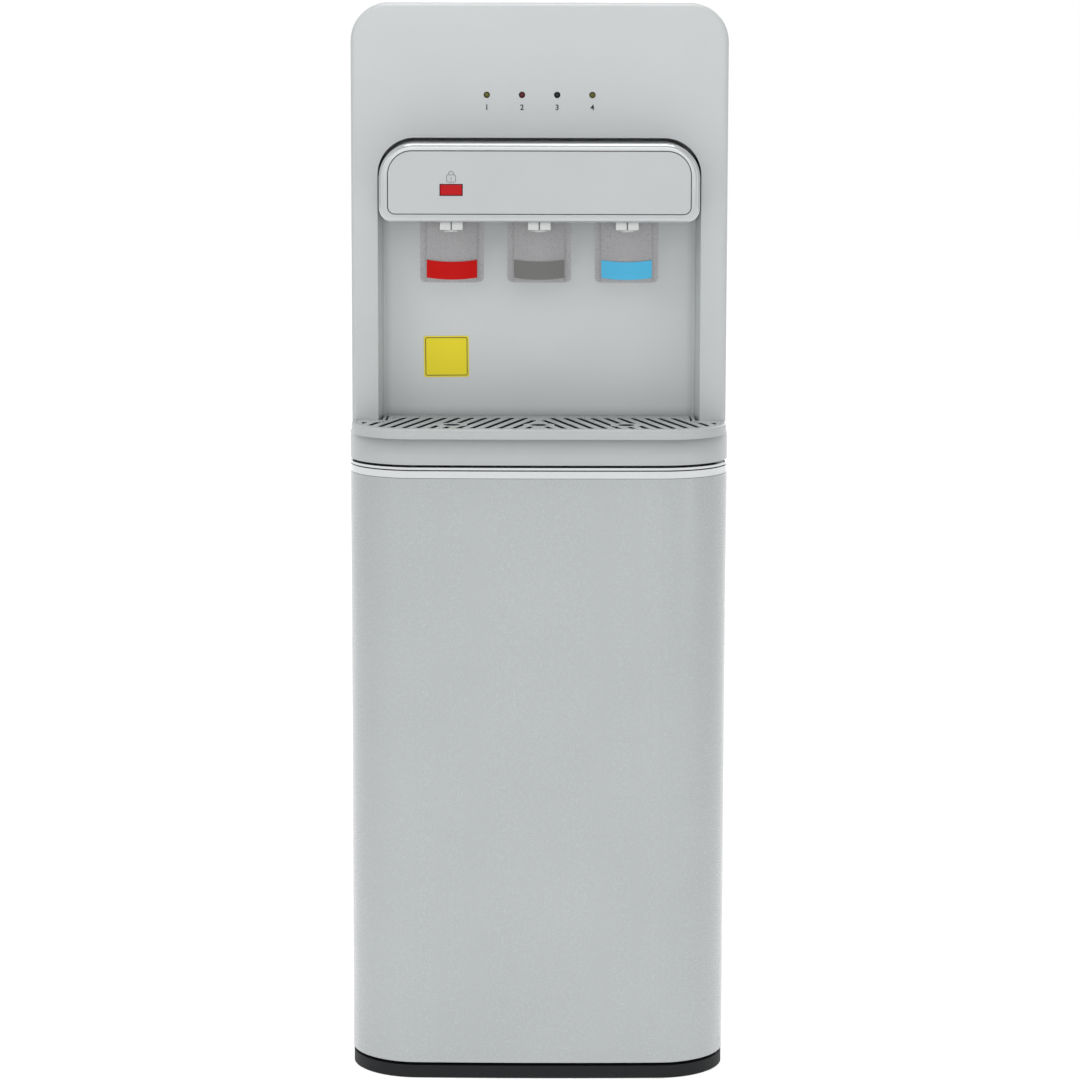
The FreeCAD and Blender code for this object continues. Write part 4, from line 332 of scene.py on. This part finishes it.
silver_moulding = moulded(
    "silver_moulding", (0.455, 0.474, 0.479), 0.33, Coat_Weight=0.12, Coat_Roughness=0.25
)
print("first finish:", silver_moulding.name)

# %% [markdown]
# The cabinet's pieces come from different moulds and sheets, so each has its own tone and gloss.
# The head is plain silver plastic, and the sheet sides and back are powder coated. The door looks
# slightly metallic under a thin clear coat, which a little Metallic and Coat give, where a special
# paint shader would need far more nodes. The tap housing is the glossiest moulding. Creases on the
# band, the niche and the front plate get painted shade, because so even a light leaves them too pale.

# %% Cabinet mouldings and sheets
dress(silver_moulding, "head_fascia", "top_cover")
# The band gets painted shade in its creases and under the tray's lip.
band_finish = moulded(
    "band_moulding", (0.43, 0.449, 0.454), 0.33, painted_shade=0.95, reach=0.022, Coat_Weight=0.1
)
dress(band_finish, "front_band")
door_finish = moulded(
    "door_moulding",
    (0.390, 0.410, 0.414),
    0.24,
    Metallic=0.25,
    Coat_Weight=0.25,
    Coat_Roughness=0.14,
)
dress(door_finish, "door_outer_panel")
powder_coat = moulded("powder_coat", (0.47, 0.49, 0.495), 0.42, peel=1400, peel_depth=0.00008)
dress(powder_coat, "side_panel_left", "side_panel_right", "rear_panel")
niche_finish = moulded("niche_moulding", (0.625, 0.65, 0.655), 0.34, painted_shade=0.6, reach=0.010)
dress(niche_finish, "niche_liner")
housing_finish = moulded(
    "housing_moulding",
    (0.46, 0.478, 0.483),
    0.14,
    peel_depth=0.00002,
    Metallic=0.4,
    Coat_Weight=0.5,
    Coat_Roughness=0.07,
)
dress(housing_finish, "tap_housing")
plate_finish = moulded("front_plate_moulding", (0.425, 0.443, 0.448), 0.34, painted_shade=0.4, reach=0.003)
dress(plate_finish, "housing_front_plate")
liner_finish = moulded("inner_moulding", (0.62, 0.64, 0.65), 0.45)
dress(liner_finish, "door_inner_liner", "bay_floor", "probe_holder", "door_bushes")
print("cabinet dressed")

# %% [markdown]
# The drip tray and its grille are silver mouldings, but the basin under the slots looks black,
# because hardly any light gets through them. A separate dark liner would do it, but it would be
# one more piece. So a mask made from the position paints that shade into the inside of the basin
# as black, and a second one paints the same shade on everything just below the grille's top face.

# %% Drip tray with painted shade in its basin


def inside_box(tree, low, high):
    """1 inside a box of the cooler's space and 0 outside it, for painting part of a moulding."""
    where = tree.nodes.new("ShaderNodeTexCoord")
    axes = tree.nodes.new("ShaderNodeSeparateXYZ")
    tree.links.new(where.outputs["Object"], axes.inputs[0])
    result = None
    for axis, (start, end) in zip("XYZ", zip(low, high)):
        for operation, limit in (("GREATER_THAN", start), ("LESS_THAN", end)):
            test = tree.nodes.new("ShaderNodeMath")
            test.operation = operation
            test.inputs[1].default_value = limit
            tree.links.new(axes.outputs[axis], test.inputs[0])
            if result is None:
                result = test.outputs[0]
                continue
            both = tree.nodes.new("ShaderNodeMath")
            both.operation = "MULTIPLY"
            tree.links.new(result, both.inputs[0])
            tree.links.new(test.outputs[0], both.inputs[1])
            result = both.outputs[0]
    return result


tray_darker, tray_lighter = (0.385, 0.403, 0.408), (0.40, 0.418, 0.423)
# The basin's black is painted shade, where little light reaches through the slots.
basin_painted_shade, basin_roughness = (0.003, 0.003, 0.004, 1), 0.9


def silver_with_painted_shade(name, low, high):
    """The tray's silver, turned black as painted shade inside a box of the cooler's space."""
    material, tree, shader = fresh(name)
    silver = two_tones(tree, clouds(tree), tray_darker, tray_lighter)
    dark = inside_box(tree, low, high)
    mix = tree.nodes.new("ShaderNodeMix")
    mix.data_type = "RGBA"
    mix.inputs["B"].default_value = basin_painted_shade
    tree.links.new(dark, mix.inputs["Factor"])
    tree.links.new(silver, mix.inputs["A"])
    tree.links.new(mix.outputs["Result"], shader.inputs["Base Color"])
    gloss = speckled(tree, 0.24, 0.32)
    matt = tree.nodes.new("ShaderNodeMix")
    matt.inputs["B"].default_value = basin_roughness
    tree.links.new(dark, matt.inputs["Factor"])
    tree.links.new(gloss, matt.inputs["A"])
    tree.links.new(matt.outputs["Result"], shader.inputs["Roughness"])
    skin_bump(tree, shader, noise(tree, 900, 2), 0.2, 0.00003)
    return material


basin_half = 150.5 * MM
basin_front, basin_back = depth(4), depth(140)
basin_top = 635.8 * MM
basin_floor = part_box("drip_tray")[0][2] + 2 * MM
tray_finish = silver_with_painted_shade(
    "tray_basin_painted_shade", (-basin_half, basin_front, basin_floor), (basin_half, basin_back, basin_top)
)
dress(tray_finish, "drip_tray")
grille_low, grille_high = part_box("drip_grille")
grille_rim, grille_skin = 1.5 * MM, 0.3 * MM
grille_finish = silver_with_painted_shade(
    "grille_slots_painted_shade",
    (grille_low[0] + grille_rim, grille_low[1] + grille_rim, grille_low[2] - MM),
    (grille_high[0] - grille_rim, grille_high[1], grille_high[2] - grille_skin),
)
dress(grille_finish, "drip_grille")
print("tray dressed")

# %% [markdown]
# The strip along the door's top is bright and almost a mirror. A thin groove under its upper bead
# reads as a dark line, because hardly any light gets in. A second piece could fill the groove,
# but a mask needs no mesh of its own. It reaches a hair above and below the groove.

# %% Bright strip on the door
trim_finish, trim_tree, trim_shader = fresh("bright_trim")
trim_low, trim_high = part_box("door_top_trim")
bead, groove, hair = 2.3 * MM, 1.1 * MM, 0.05 * MM
in_groove = inside_box(
    trim_tree,
    (trim_low[0] - MM, trim_low[1] - MM, trim_high[2] - bead - groove - hair),
    (trim_high[0] + MM, trim_high[1] + MM, trim_high[2] - bead + hair),
)
shine = two_tones(trim_tree, clouds(trim_tree), (0.62, 0.642, 0.648), (0.64, 0.662, 0.668))
groove_mix = trim_tree.nodes.new("ShaderNodeMix")
groove_mix.data_type = "RGBA"
groove_mix.inputs["B"].default_value = (0.02, 0.021, 0.022, 1)
trim_tree.links.new(in_groove, groove_mix.inputs["Factor"])
trim_tree.links.new(shine, groove_mix.inputs["A"])
trim_tree.links.new(groove_mix.outputs["Result"], trim_shader.inputs["Base Color"])
trim_tree.links.new(speckled(trim_tree, 0.05, 0.11), trim_shader.inputs["Roughness"])
skin_bump(trim_tree, trim_shader, noise(trim_tree, 900, 2), 0.15, 0.00001)
trim_shader.inputs["Metallic"].default_value = 0.85
trim_shader.inputs["Coat Weight"].default_value = 0.3
trim_shader.inputs["Coat Roughness"].default_value = 0.03
dress(trim_finish, "door_top_trim")
print("strip dressed from", round(trim_low[2], 4), "to", round(trim_high[2], 4))

# %% [markdown]
# Black pieces are never quite black: the base pan is a matt moulding that catches a soft grey
# sheen, and rubber is rougher still. The same moulded finish does for all of them, with a very
# dark colour and more or less gloss.

# %% Black plastics, rubber and enamel
pan_black = moulded(
    "base_pan_black",
    (0.004, 0.005, 0.006),
    0.62,
    peel=500,
    peel_depth=0.00008,
    Specular_IOR_Level=0.3,
)
fitting_black = moulded(
    "fitting_black", (0.02, 0.021, 0.022), 0.5, peel=700, peel_depth=0.00006
)
dress(pan_black, "base_pan")
dress(fitting_black, "condenser_mounts", "cord_gland", "switch_bezels", "drain_plug", "door_magnets")
dress(fitting_black, "thermostats", "water_pump")
foot_rubber = moulded("foot_rubber", (0.016, 0.016, 0.016), 0.75, peel=350, peel_depth=0.0001)
dress(foot_rubber, "rubber_feet", "compressor_grommets")
enamel = moulded(
    "black_enamel", (0.014, 0.014, 0.015), 0.28, peel=260, peel_depth=0.00015, Coat_Weight=0.3
)
dress(enamel, "compressor", "condenser_coil")
print("black pieces dressed")

# %% [markdown]
# Bare metal is drawn, rolled or plated. Noise that is squeezed along one axis gives the long fine
# scratches of rolled sheet, and soft patches give copper its uneven tarnish.

# %% Metals


def metal(name, colour, second, gloss, stretch=(1, 1, 1), scratch=0.3):
    """A bare metal with patches of a second tone and fine scratches along one axis."""
    material, tree, shader = fresh(name)
    patches = spread(tree, noise(tree, 22, 4, rough=0.6), 0, 1)
    tree.links.new(two_tones(tree, patches, colour, second), shader.inputs["Base Color"])
    lines = noise(tree, 320, 3, stretch)
    tree.links.new(spread(tree, lines, gloss - 0.08, gloss + 0.1), shader.inputs["Roughness"])
    skin_bump(tree, shader, lines, scratch, 0.00003)
    shader.inputs["Metallic"].default_value = 1.0
    return material


zinc = metal("zinc_sheet", (0.62, 0.63, 0.64), (0.54, 0.55, 0.57), 0.36, (1, 1, 0.04))
dress(zinc, "mid_shelf", "bay_rear_wall", "hinge_brackets", "strike_plates", "hinge_pins")
screw_zinc = metal("screw_zinc", (0.66, 0.66, 0.66), (0.55, 0.55, 0.56), 0.3)
dress(screw_zinc, "rear_screws", "paddle_pins")
stainless = metal("tank_stainless", (0.60, 0.60, 0.61), (0.52, 0.52, 0.53), 0.3, (1, 1, 0.05))
dress(stainless, "cold_tank", "hot_tank")
copper = metal("copper_tube", (0.72, 0.36, 0.22), (0.50, 0.22, 0.14), 0.32)
dress(copper, "refrigerant_pipes", "filter_drier", "evaporator_coil")
print("metals dressed")

# %% [markdown]
# The paddles are frosted plastic: light goes in, scatters and comes out soft, so the wall behind
# shows faintly through their thin wings. Transmission with some roughness gives that milkiness
# and bends the light as plastic does, where plain transparency would look like thin foil.

# %% Paddles, taps and inserts
frosted = moulded(
    "frosted_paddle", (0.44, 0.438, 0.448), 0.30, Transmission_Weight=0.45, IOR=1.46
)
dress(frosted, "paddle_hot", "paddle_room", "paddle_cold")
# Painted shade darkens the tap valves' creases.
tap_white = moulded(
    "tap_white", (0.56, 0.565, 0.563), 0.28, painted_shade=0.9, reach=0.004, Coat_Weight=0.2
)
dress(tap_white, "tap_valve_hot", "tap_valve_room", "tap_valve_cold")
probe_white = moulded("probe_white", (0.80, 0.81, 0.81), 0.35, Transmission_Weight=0.1)
dress(probe_white, "bottle_probe")
insert_red = moulded("insert_red", (0.46, 0.003, 0.002), 0.42, Specular_IOR_Level=0.1)
dress(insert_red, "paddle_insert_hot")
insert_grey = moulded("insert_grey", (0.15, 0.15, 0.147), 0.42, Specular_IOR_Level=0.2)
dress(insert_grey, "paddle_insert_room")
insert_blue = moulded("insert_blue", (0.066, 0.39, 0.62), 0.42, Specular_IOR_Level=0.2)
dress(insert_blue, "paddle_insert_cold")
# Painted shade darkens the lock button's edges, where it sits in its window.
button_red = moulded(
    "lock_button_red", (0.40, 0.004, 0.006), 0.42, painted_shade=0.9, reach=0.002, Specular_IOR_Level=0.15
)
dress(button_red, "child_lock_button")
print("taps dressed")

# %% [markdown]
# The four indicator lamps share one solid, but two of them are olive when unlit, one is dark red
# and one nearly black. Four materials would need the lamps' faces sorted first, so one material
# reads the colour from where each lamp stands along the row.

# %% Lamps
lamp_pitch = 33.7 * MM
lamp_finish, lamp_tree, lamp_shader = fresh("lamp_lenses")
where = lamp_tree.nodes.new("ShaderNodeTexCoord")
axes = lamp_tree.nodes.new("ShaderNodeSeparateXYZ")
row = lamp_tree.nodes.new("ShaderNodeMapRange")
row.inputs["From Min"].default_value = -2 * lamp_pitch
row.inputs["From Max"].default_value = 2 * lamp_pitch
tints = lamp_tree.nodes.new("ShaderNodeValToRGB")
tints.color_ramp.interpolation = "CONSTANT"
olive = (0.09, 0.082, 0.012, 1)
dark_red = (0.07, 0.003, 0.005, 1)
night = (0.002, 0.003, 0.004, 1)
tints.color_ramp.elements[0].color = olive
tints.color_ramp.elements[1].position = 0.25
tints.color_ramp.elements[1].color = dark_red
tints.color_ramp.elements.new(0.5).color = night
tints.color_ramp.elements.new(0.75).color = olive
lamp_tree.links.new(where.outputs["Object"], axes.inputs[0])
lamp_tree.links.new(axes.outputs["X"], row.inputs["Value"])
lamp_tree.links.new(row.outputs["Result"], tints.inputs["Fac"])
lamp_tree.links.new(tints.outputs["Color"], lamp_shader.inputs["Base Color"])
lens_specks = spread(lamp_tree, noise(lamp_tree, 2000, 1), 0.10, 0.18)
lamp_tree.links.new(lens_specks, lamp_shader.inputs["Roughness"])
lamp_shader.inputs["Specular IOR Level"].default_value = 0.3
dress(lamp_finish, "status_lamps")
print("lamps dressed")

# %% [markdown]
# Inside, the tanks sit in foam jackets, milky hoses carry the water, and two green boards carry
# the electronics. Foam needs a coarse pitted skin, which cells give better than noise does, and a
# board needs fine lines under its lacquer, which a brick pattern gives with its joints.

# %% Foam, hoses and boards
foam, foam_tree, foam_shader = fresh("foam_jacket")
cells = foam_tree.nodes.new("ShaderNodeTexVoronoi")
cells.inputs["Scale"].default_value = 260
spot = foam_tree.nodes.new("ShaderNodeTexCoord")
foam_tree.links.new(spot.outputs["Object"], cells.inputs["Vector"])
pits = spread(foam_tree, cells.outputs["Distance"], 0, 1, 0, 0.6)
foam_tone = two_tones(foam_tree, pits, (0.018, 0.018, 0.02), (0.05, 0.05, 0.052))
foam_tree.links.new(foam_tone, foam_shader.inputs["Base Color"])
foam_shader.inputs["Roughness"].default_value = 0.9
skin_bump(foam_tree, foam_shader, cells.outputs["Distance"], 0.5, 0.0006)
dress(foam, "cold_tank_insulation", "hot_tank_insulation")
milky = moulded("milky_hose", (0.80, 0.82, 0.81), 0.4, Transmission_Weight=0.3, Subsurface_Weight=0.15)
dress(milky, "water_hoses")
board, board_tree, board_shader = fresh("board_lacquer")
tracks = board_tree.nodes.new("ShaderNodeTexBrick")
tracks.inputs["Scale"].default_value = 90
tracks.inputs["Color1"].default_value = (0.010, 0.085, 0.035, 1)
tracks.inputs["Color2"].default_value = (0.012, 0.11, 0.045, 1)
tracks.inputs["Mortar"].default_value = (0.05, 0.22, 0.08, 1)
tracks.inputs["Mortar Size"].default_value = 0.02
spot = board_tree.nodes.new("ShaderNodeTexCoord")
tipped = board_tree.nodes.new("ShaderNodeMapping")
tipped.inputs["Rotation"].default_value = (0, math.pi / 2, 0)
board_tree.links.new(spot.outputs["Object"], tipped.inputs["Vector"])
board_tree.links.new(tipped.outputs["Vector"], tracks.inputs["Vector"])
board_tree.links.new(tracks.outputs["Color"], board_shader.inputs["Base Color"])
lacquer = spread(board_tree, noise(board_tree, 700, 2), 0.25, 0.4)
board_tree.links.new(lacquer, board_shader.inputs["Roughness"])
dress(board, "control_board", "indicator_board")
dress(moulded("rocker_red", (0.42, 0.012, 0.012), 0.25, Coat_Weight=0.4), "rocker_switch_hot")
dress(moulded("rocker_green", (0.015, 0.20, 0.045), 0.25, Coat_Weight=0.4), "rocker_switch_cold")
print("inside dressed")

# %% [markdown]
# Printed marks are far too thin for the solids, so they are made here. Each starts as a flat
# outline that is filled and given a hair of thickness, and lies just proud of its surface. The
# marks under the lamps are plain numbers.

# %% Printed numbers under the lamps
print_grey = moulded("print_ink", (0.020, 0.021, 0.022), 0.6, drift=0.05, Specular_IOR_Level=0.2)


def place_flat(piece, x, y, z):
    """Stands a flat piece upright so that it faces the front."""
    piece.rotation_euler = (math.pi / 2, 0, 0)
    piece.location = (x, y, z)


def to_mesh_piece(piece, name):
    """Turns a curve or text into a mesh in the cooler's own frame, with its origin at zero."""
    bpy.context.view_layer.update()
    whole = piece.evaluated_get(bpy.context.evaluated_depsgraph_get())
    data = bpy.data.meshes.new_from_object(whole)
    data.transform(piece.matrix_world)
    made = bpy.data.objects.new(name, data)
    bpy.context.scene.collection.objects.link(made)
    bpy.data.objects.remove(piece)
    return made


fascia_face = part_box("head_fascia")[0][1]
number_foot, number_size, number_swell = 938.0 * MM, 7.4 * MM, 0.16 * MM
number_lift, number_thickness = 0.05 * MM, 0.06 * MM
lamp_places = [(n - 1.5) * lamp_pitch for n in range(4)]
for n, x in enumerate(lamp_places):
    letters = bpy.data.curves.new(f"lamp_number_{n + 1}", "FONT")
    letters.body = str(n + 1)
    letters.size = number_size
    letters.offset = number_swell
    letters.align_x = "CENTER"
    letters.extrude = number_thickness
    text = bpy.data.objects.new(f"lamp_text_{n + 1}", letters)
    bpy.context.scene.collection.objects.link(text)
    place_flat(text, x, fascia_face - number_lift, number_foot)
    mark = to_mesh_piece(text, f"lamp_number_{n + 1}")
    mark.data.materials.clear()
    mark.data.materials.append(print_grey)
    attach(mark, "cabinet")
print("numbers under", len(lamp_places), "lamps")

# %% [markdown]
# A small padlock is moulded over the lock button in low relief. Its outline is a thin tube that
# follows a shackle and a rounded body, half sunk in the plate. A bump would do from the front, but
# only real relief shows from the side.

# %% Padlock relief
plate_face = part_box("housing_front_plate")[0][1]


def relief(name, points, x, z, radius, closed, material, body, face):
    """A thin raised line on an upright face, through points in millimetres about (x, z)."""
    line = bpy.data.curves.new(name + "_line", "CURVE")
    line.dimensions = "3D"
    line.bevel_depth = radius
    line.bevel_resolution = 2
    path = line.splines.new("POLY")
    path.points.add(len(points) - 1)
    for knot, (px, pz) in zip(path.points, points):
        knot.co = (x + px * MM, face, z + pz * MM, 1)
    path.use_cyclic_u = closed
    drawn = bpy.data.objects.new(name + "_curve", line)
    bpy.context.scene.collection.objects.link(drawn)
    made = to_mesh_piece(drawn, name)
    made.data.materials.clear()
    made.data.materials.append(material)
    for face_part in made.data.polygons:
        face_part.use_smooth = True
    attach(made, body)
    return made


def rounded(half_x, half_z, corner, steps=5):
    """A rounded rectangle's outline about its middle."""
    points = []
    for cx, cz, start in ((1, 1, 0), (-1, 1, 90), (-1, -1, 180), (1, -1, 270)):
        for k in range(steps + 1):
            angle = math.radians(start + 90 * k / steps)
            points.append(
                (
                    cx * (half_x - corner) + corner * math.cos(angle),
                    cz * (half_z - corner) + corner * math.sin(angle),
                )
            )
    return points


lock_x, lock_z = -0.0835, 0.8765
relief_grey = moulded("relief_grey", (0.17, 0.176, 0.18), 0.4)
body_half, body_corner, body_drop = (4.2, 3.4), 1.4, 1.6
shackle_half, shackle_foot, shackle_rise = 2.7, 2.2, 3.0
body_line = [(px, pz - body_drop) for px, pz in rounded(*body_half, body_corner)]
shackle_line = [
    (shackle_half * math.cos(math.radians(a)), shackle_foot + shackle_rise * math.sin(math.radians(a)))
    for a in range(0, 181, 15)
]
keyway_line = [(0, -0.4), (0, -3.2)]
lock_marks = [
    relief(name, line, lock_x, lock_z, radius, closed, relief_grey, "cabinet", plate_face)
    for name, line, radius, closed in (
        ("padlock_body", body_line, 0.28 * MM, True),
        ("padlock_shackle", shackle_line, 0.28 * MM, False),
        ("padlock_keyway", keyway_line, 0.3 * MM, False),
    )
]
print("padlock of", len(lock_marks), "lines")

# %% [markdown]
# The front plate sits in a shallow recess, and the gap round it shows as a fine dark line. The gap
# is narrower than a hair at this distance, so light alone doesn't draw it. A thin dark line of
# painted shade in the gap, laid along the plate's outline, gives it its real width from every side.

# %% Seam round the front plate
face_skin = 0.2 * MM
seam_radius, seam_sink = 0.42 * MM, 0.25 * MM
no_turn = 1e-9


def turns_left(a, b, c):
    """Whether the way from a over b to c bends to the left."""
    return (b[0] - a[0]) * (c[1] - a[1]) - (b[1] - a[1]) * (c[0] - a[0]) > no_turn


def plate_outline():
    """The outer edge of the plate's face, in order, without the button's hole in its middle."""
    corners = {
        (round(corner.co.x / MM, 3), round(corner.co.z / MM, 3))
        for corner in cooler["housing_front_plate"].data.vertices
        if corner.co.y < plate_face + face_skin
    }
    edge = []
    for way in (sorted(corners), sorted(corners, reverse=True)):
        side = []
        for corner in way:
            while len(side) > 1 and not turns_left(side[-2], side[-1], corner):
                side.pop()
            side.append(corner)
        edge += side[:-1]
    return edge


# The line's near-black colour is painted shade for the gap.
seam_shade_paint = moulded("seam_shade", (0.035, 0.037, 0.038), 0.7, drift=0.05, Specular_IOR_Level=0.1)
seam_points = plate_outline()
relief(
    "plate_gap_shade",
    seam_points,
    0,
    0,
    seam_radius,
    True,
    seam_shade_paint,
    "cabinet",
    plate_face + seam_sink,
)
print("seam with", len(seam_points), "points")

# %% [markdown]
# A plain yellow sticker with a thin dark border is stuck to the niche wall. It is a sheet 0.2 mm
# thick with rounded corners, turned by half a degree as if put on by hand. A flat picture on the
# wall would do from the front, but it would have no edge from the side. The sheet is built from
# its two outlines and not by an extrude step, whose order of faces can change from run to run.

# %% Sticker
niche_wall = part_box("niche_liner")[1][1] - 2 * MM


def turned(outline, x, z, tilt):
    """An outline in millimetres, turned and set about (x, z) in metres."""
    ca, sa = math.cos(tilt), math.sin(tilt)
    return [(x + (px * ca - pz * sa) * MM, z + (px * sa + pz * ca) * MM) for px, pz in outline]


def thin_piece(name, shape, material, body):
    """Turns finished geometry into a piece with its finish and body."""
    bmesh.ops.recalc_face_normals(shape, faces=shape.faces)
    data = bpy.data.meshes.new(name)
    shape.to_mesh(data)
    shape.free()
    data.materials.append(material)
    made = bpy.data.objects.new(name, data)
    bpy.context.scene.collection.objects.link(made)
    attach(made, body)
    return made


def flat_shape(name, outline, x, z, face, thick, material, body, tilt=0.0):
    """A thin upright plate from an outline in millimetres about (x, z)."""
    shape = bmesh.new()
    corners = turned(outline, x, z, tilt)
    back, front = [
        [shape.verts.new((px, y, pz)) for px, pz in corners] for y in (face, face - thick)
    ]
    shape.faces.new(back)
    shape.faces.new(front)
    for k in range(len(corners)):
        m = (k + 1) % len(corners)
        shape.faces.new((back[k], back[m], front[m], front[k]))
    return thin_piece(name, shape, material, body)


sticker_x, sticker_z, sticker_tilt = -0.0907, 0.6964, math.radians(0.5)
sticker_half, sticker_corner, sticker_thickness = (22, 20.2), 2, 0.2 * MM
sticker_yellow = moulded(
    "sticker_yellow", (0.88, 0.74, 0.025), 0.5, drift=0.015, Specular_IOR_Level=0.25
)
flat_shape(
    "sticker_sheet",
    rounded(*sticker_half, sticker_corner),
    sticker_x,
    sticker_z,
    niche_wall,
    sticker_thickness,
    sticker_yellow,
    "cabinet",
    sticker_tilt,
)
print("sticker at", round(sticker_x, 4), round(sticker_z, 4))

# %% [markdown]
# The border could be drawn in the sheet's material, but a ring of its own keeps a crisp edge from
# close by. It joins two rounded rectangles, front and back, one inside the other.

# %% Sticker border


def frame_shape(name, half, corner, width, x, z, face, thick, material, body, tilt=0.0):
    """A thin border: the ring between two rounded rectangles."""
    shape = bmesh.new()
    least_corner = 0.2
    outer = rounded(*half, corner)
    inner = rounded(half[0] - width, half[1] - width, max(corner - width, least_corner))
    rings = [
        [shape.verts.new((px, y, pz)) for px, pz in turned(outline, x, z, tilt)]
        for y in (face, face - thick)
        for outline in (outer, inner)
    ]
    count = len(outer)
    for first, second in ((0, 1), (1, 3), (3, 2), (2, 0)):
        for k in range(count):
            m = (k + 1) % count
            shape.faces.new((rings[first][k], rings[first][m], rings[second][m], rings[second][k]))
    return thin_piece(name, shape, material, body)


border_half, border_corner, border_width, border_thickness = (20.6, 18.8), 1.8, 0.75, 0.05 * MM
sticker_ink = moulded("sticker_ink", (0.03, 0.028, 0.02), 0.5, drift=0.05)
frame_shape(
    "sticker_border",
    border_half,
    border_corner,
    border_width,
    sticker_x,
    sticker_z,
    niche_wall - sticker_thickness,
    border_thickness,
    sticker_ink,
    "cabinet",
    sticker_tilt,
)
print("border", border_width, "mm wide")
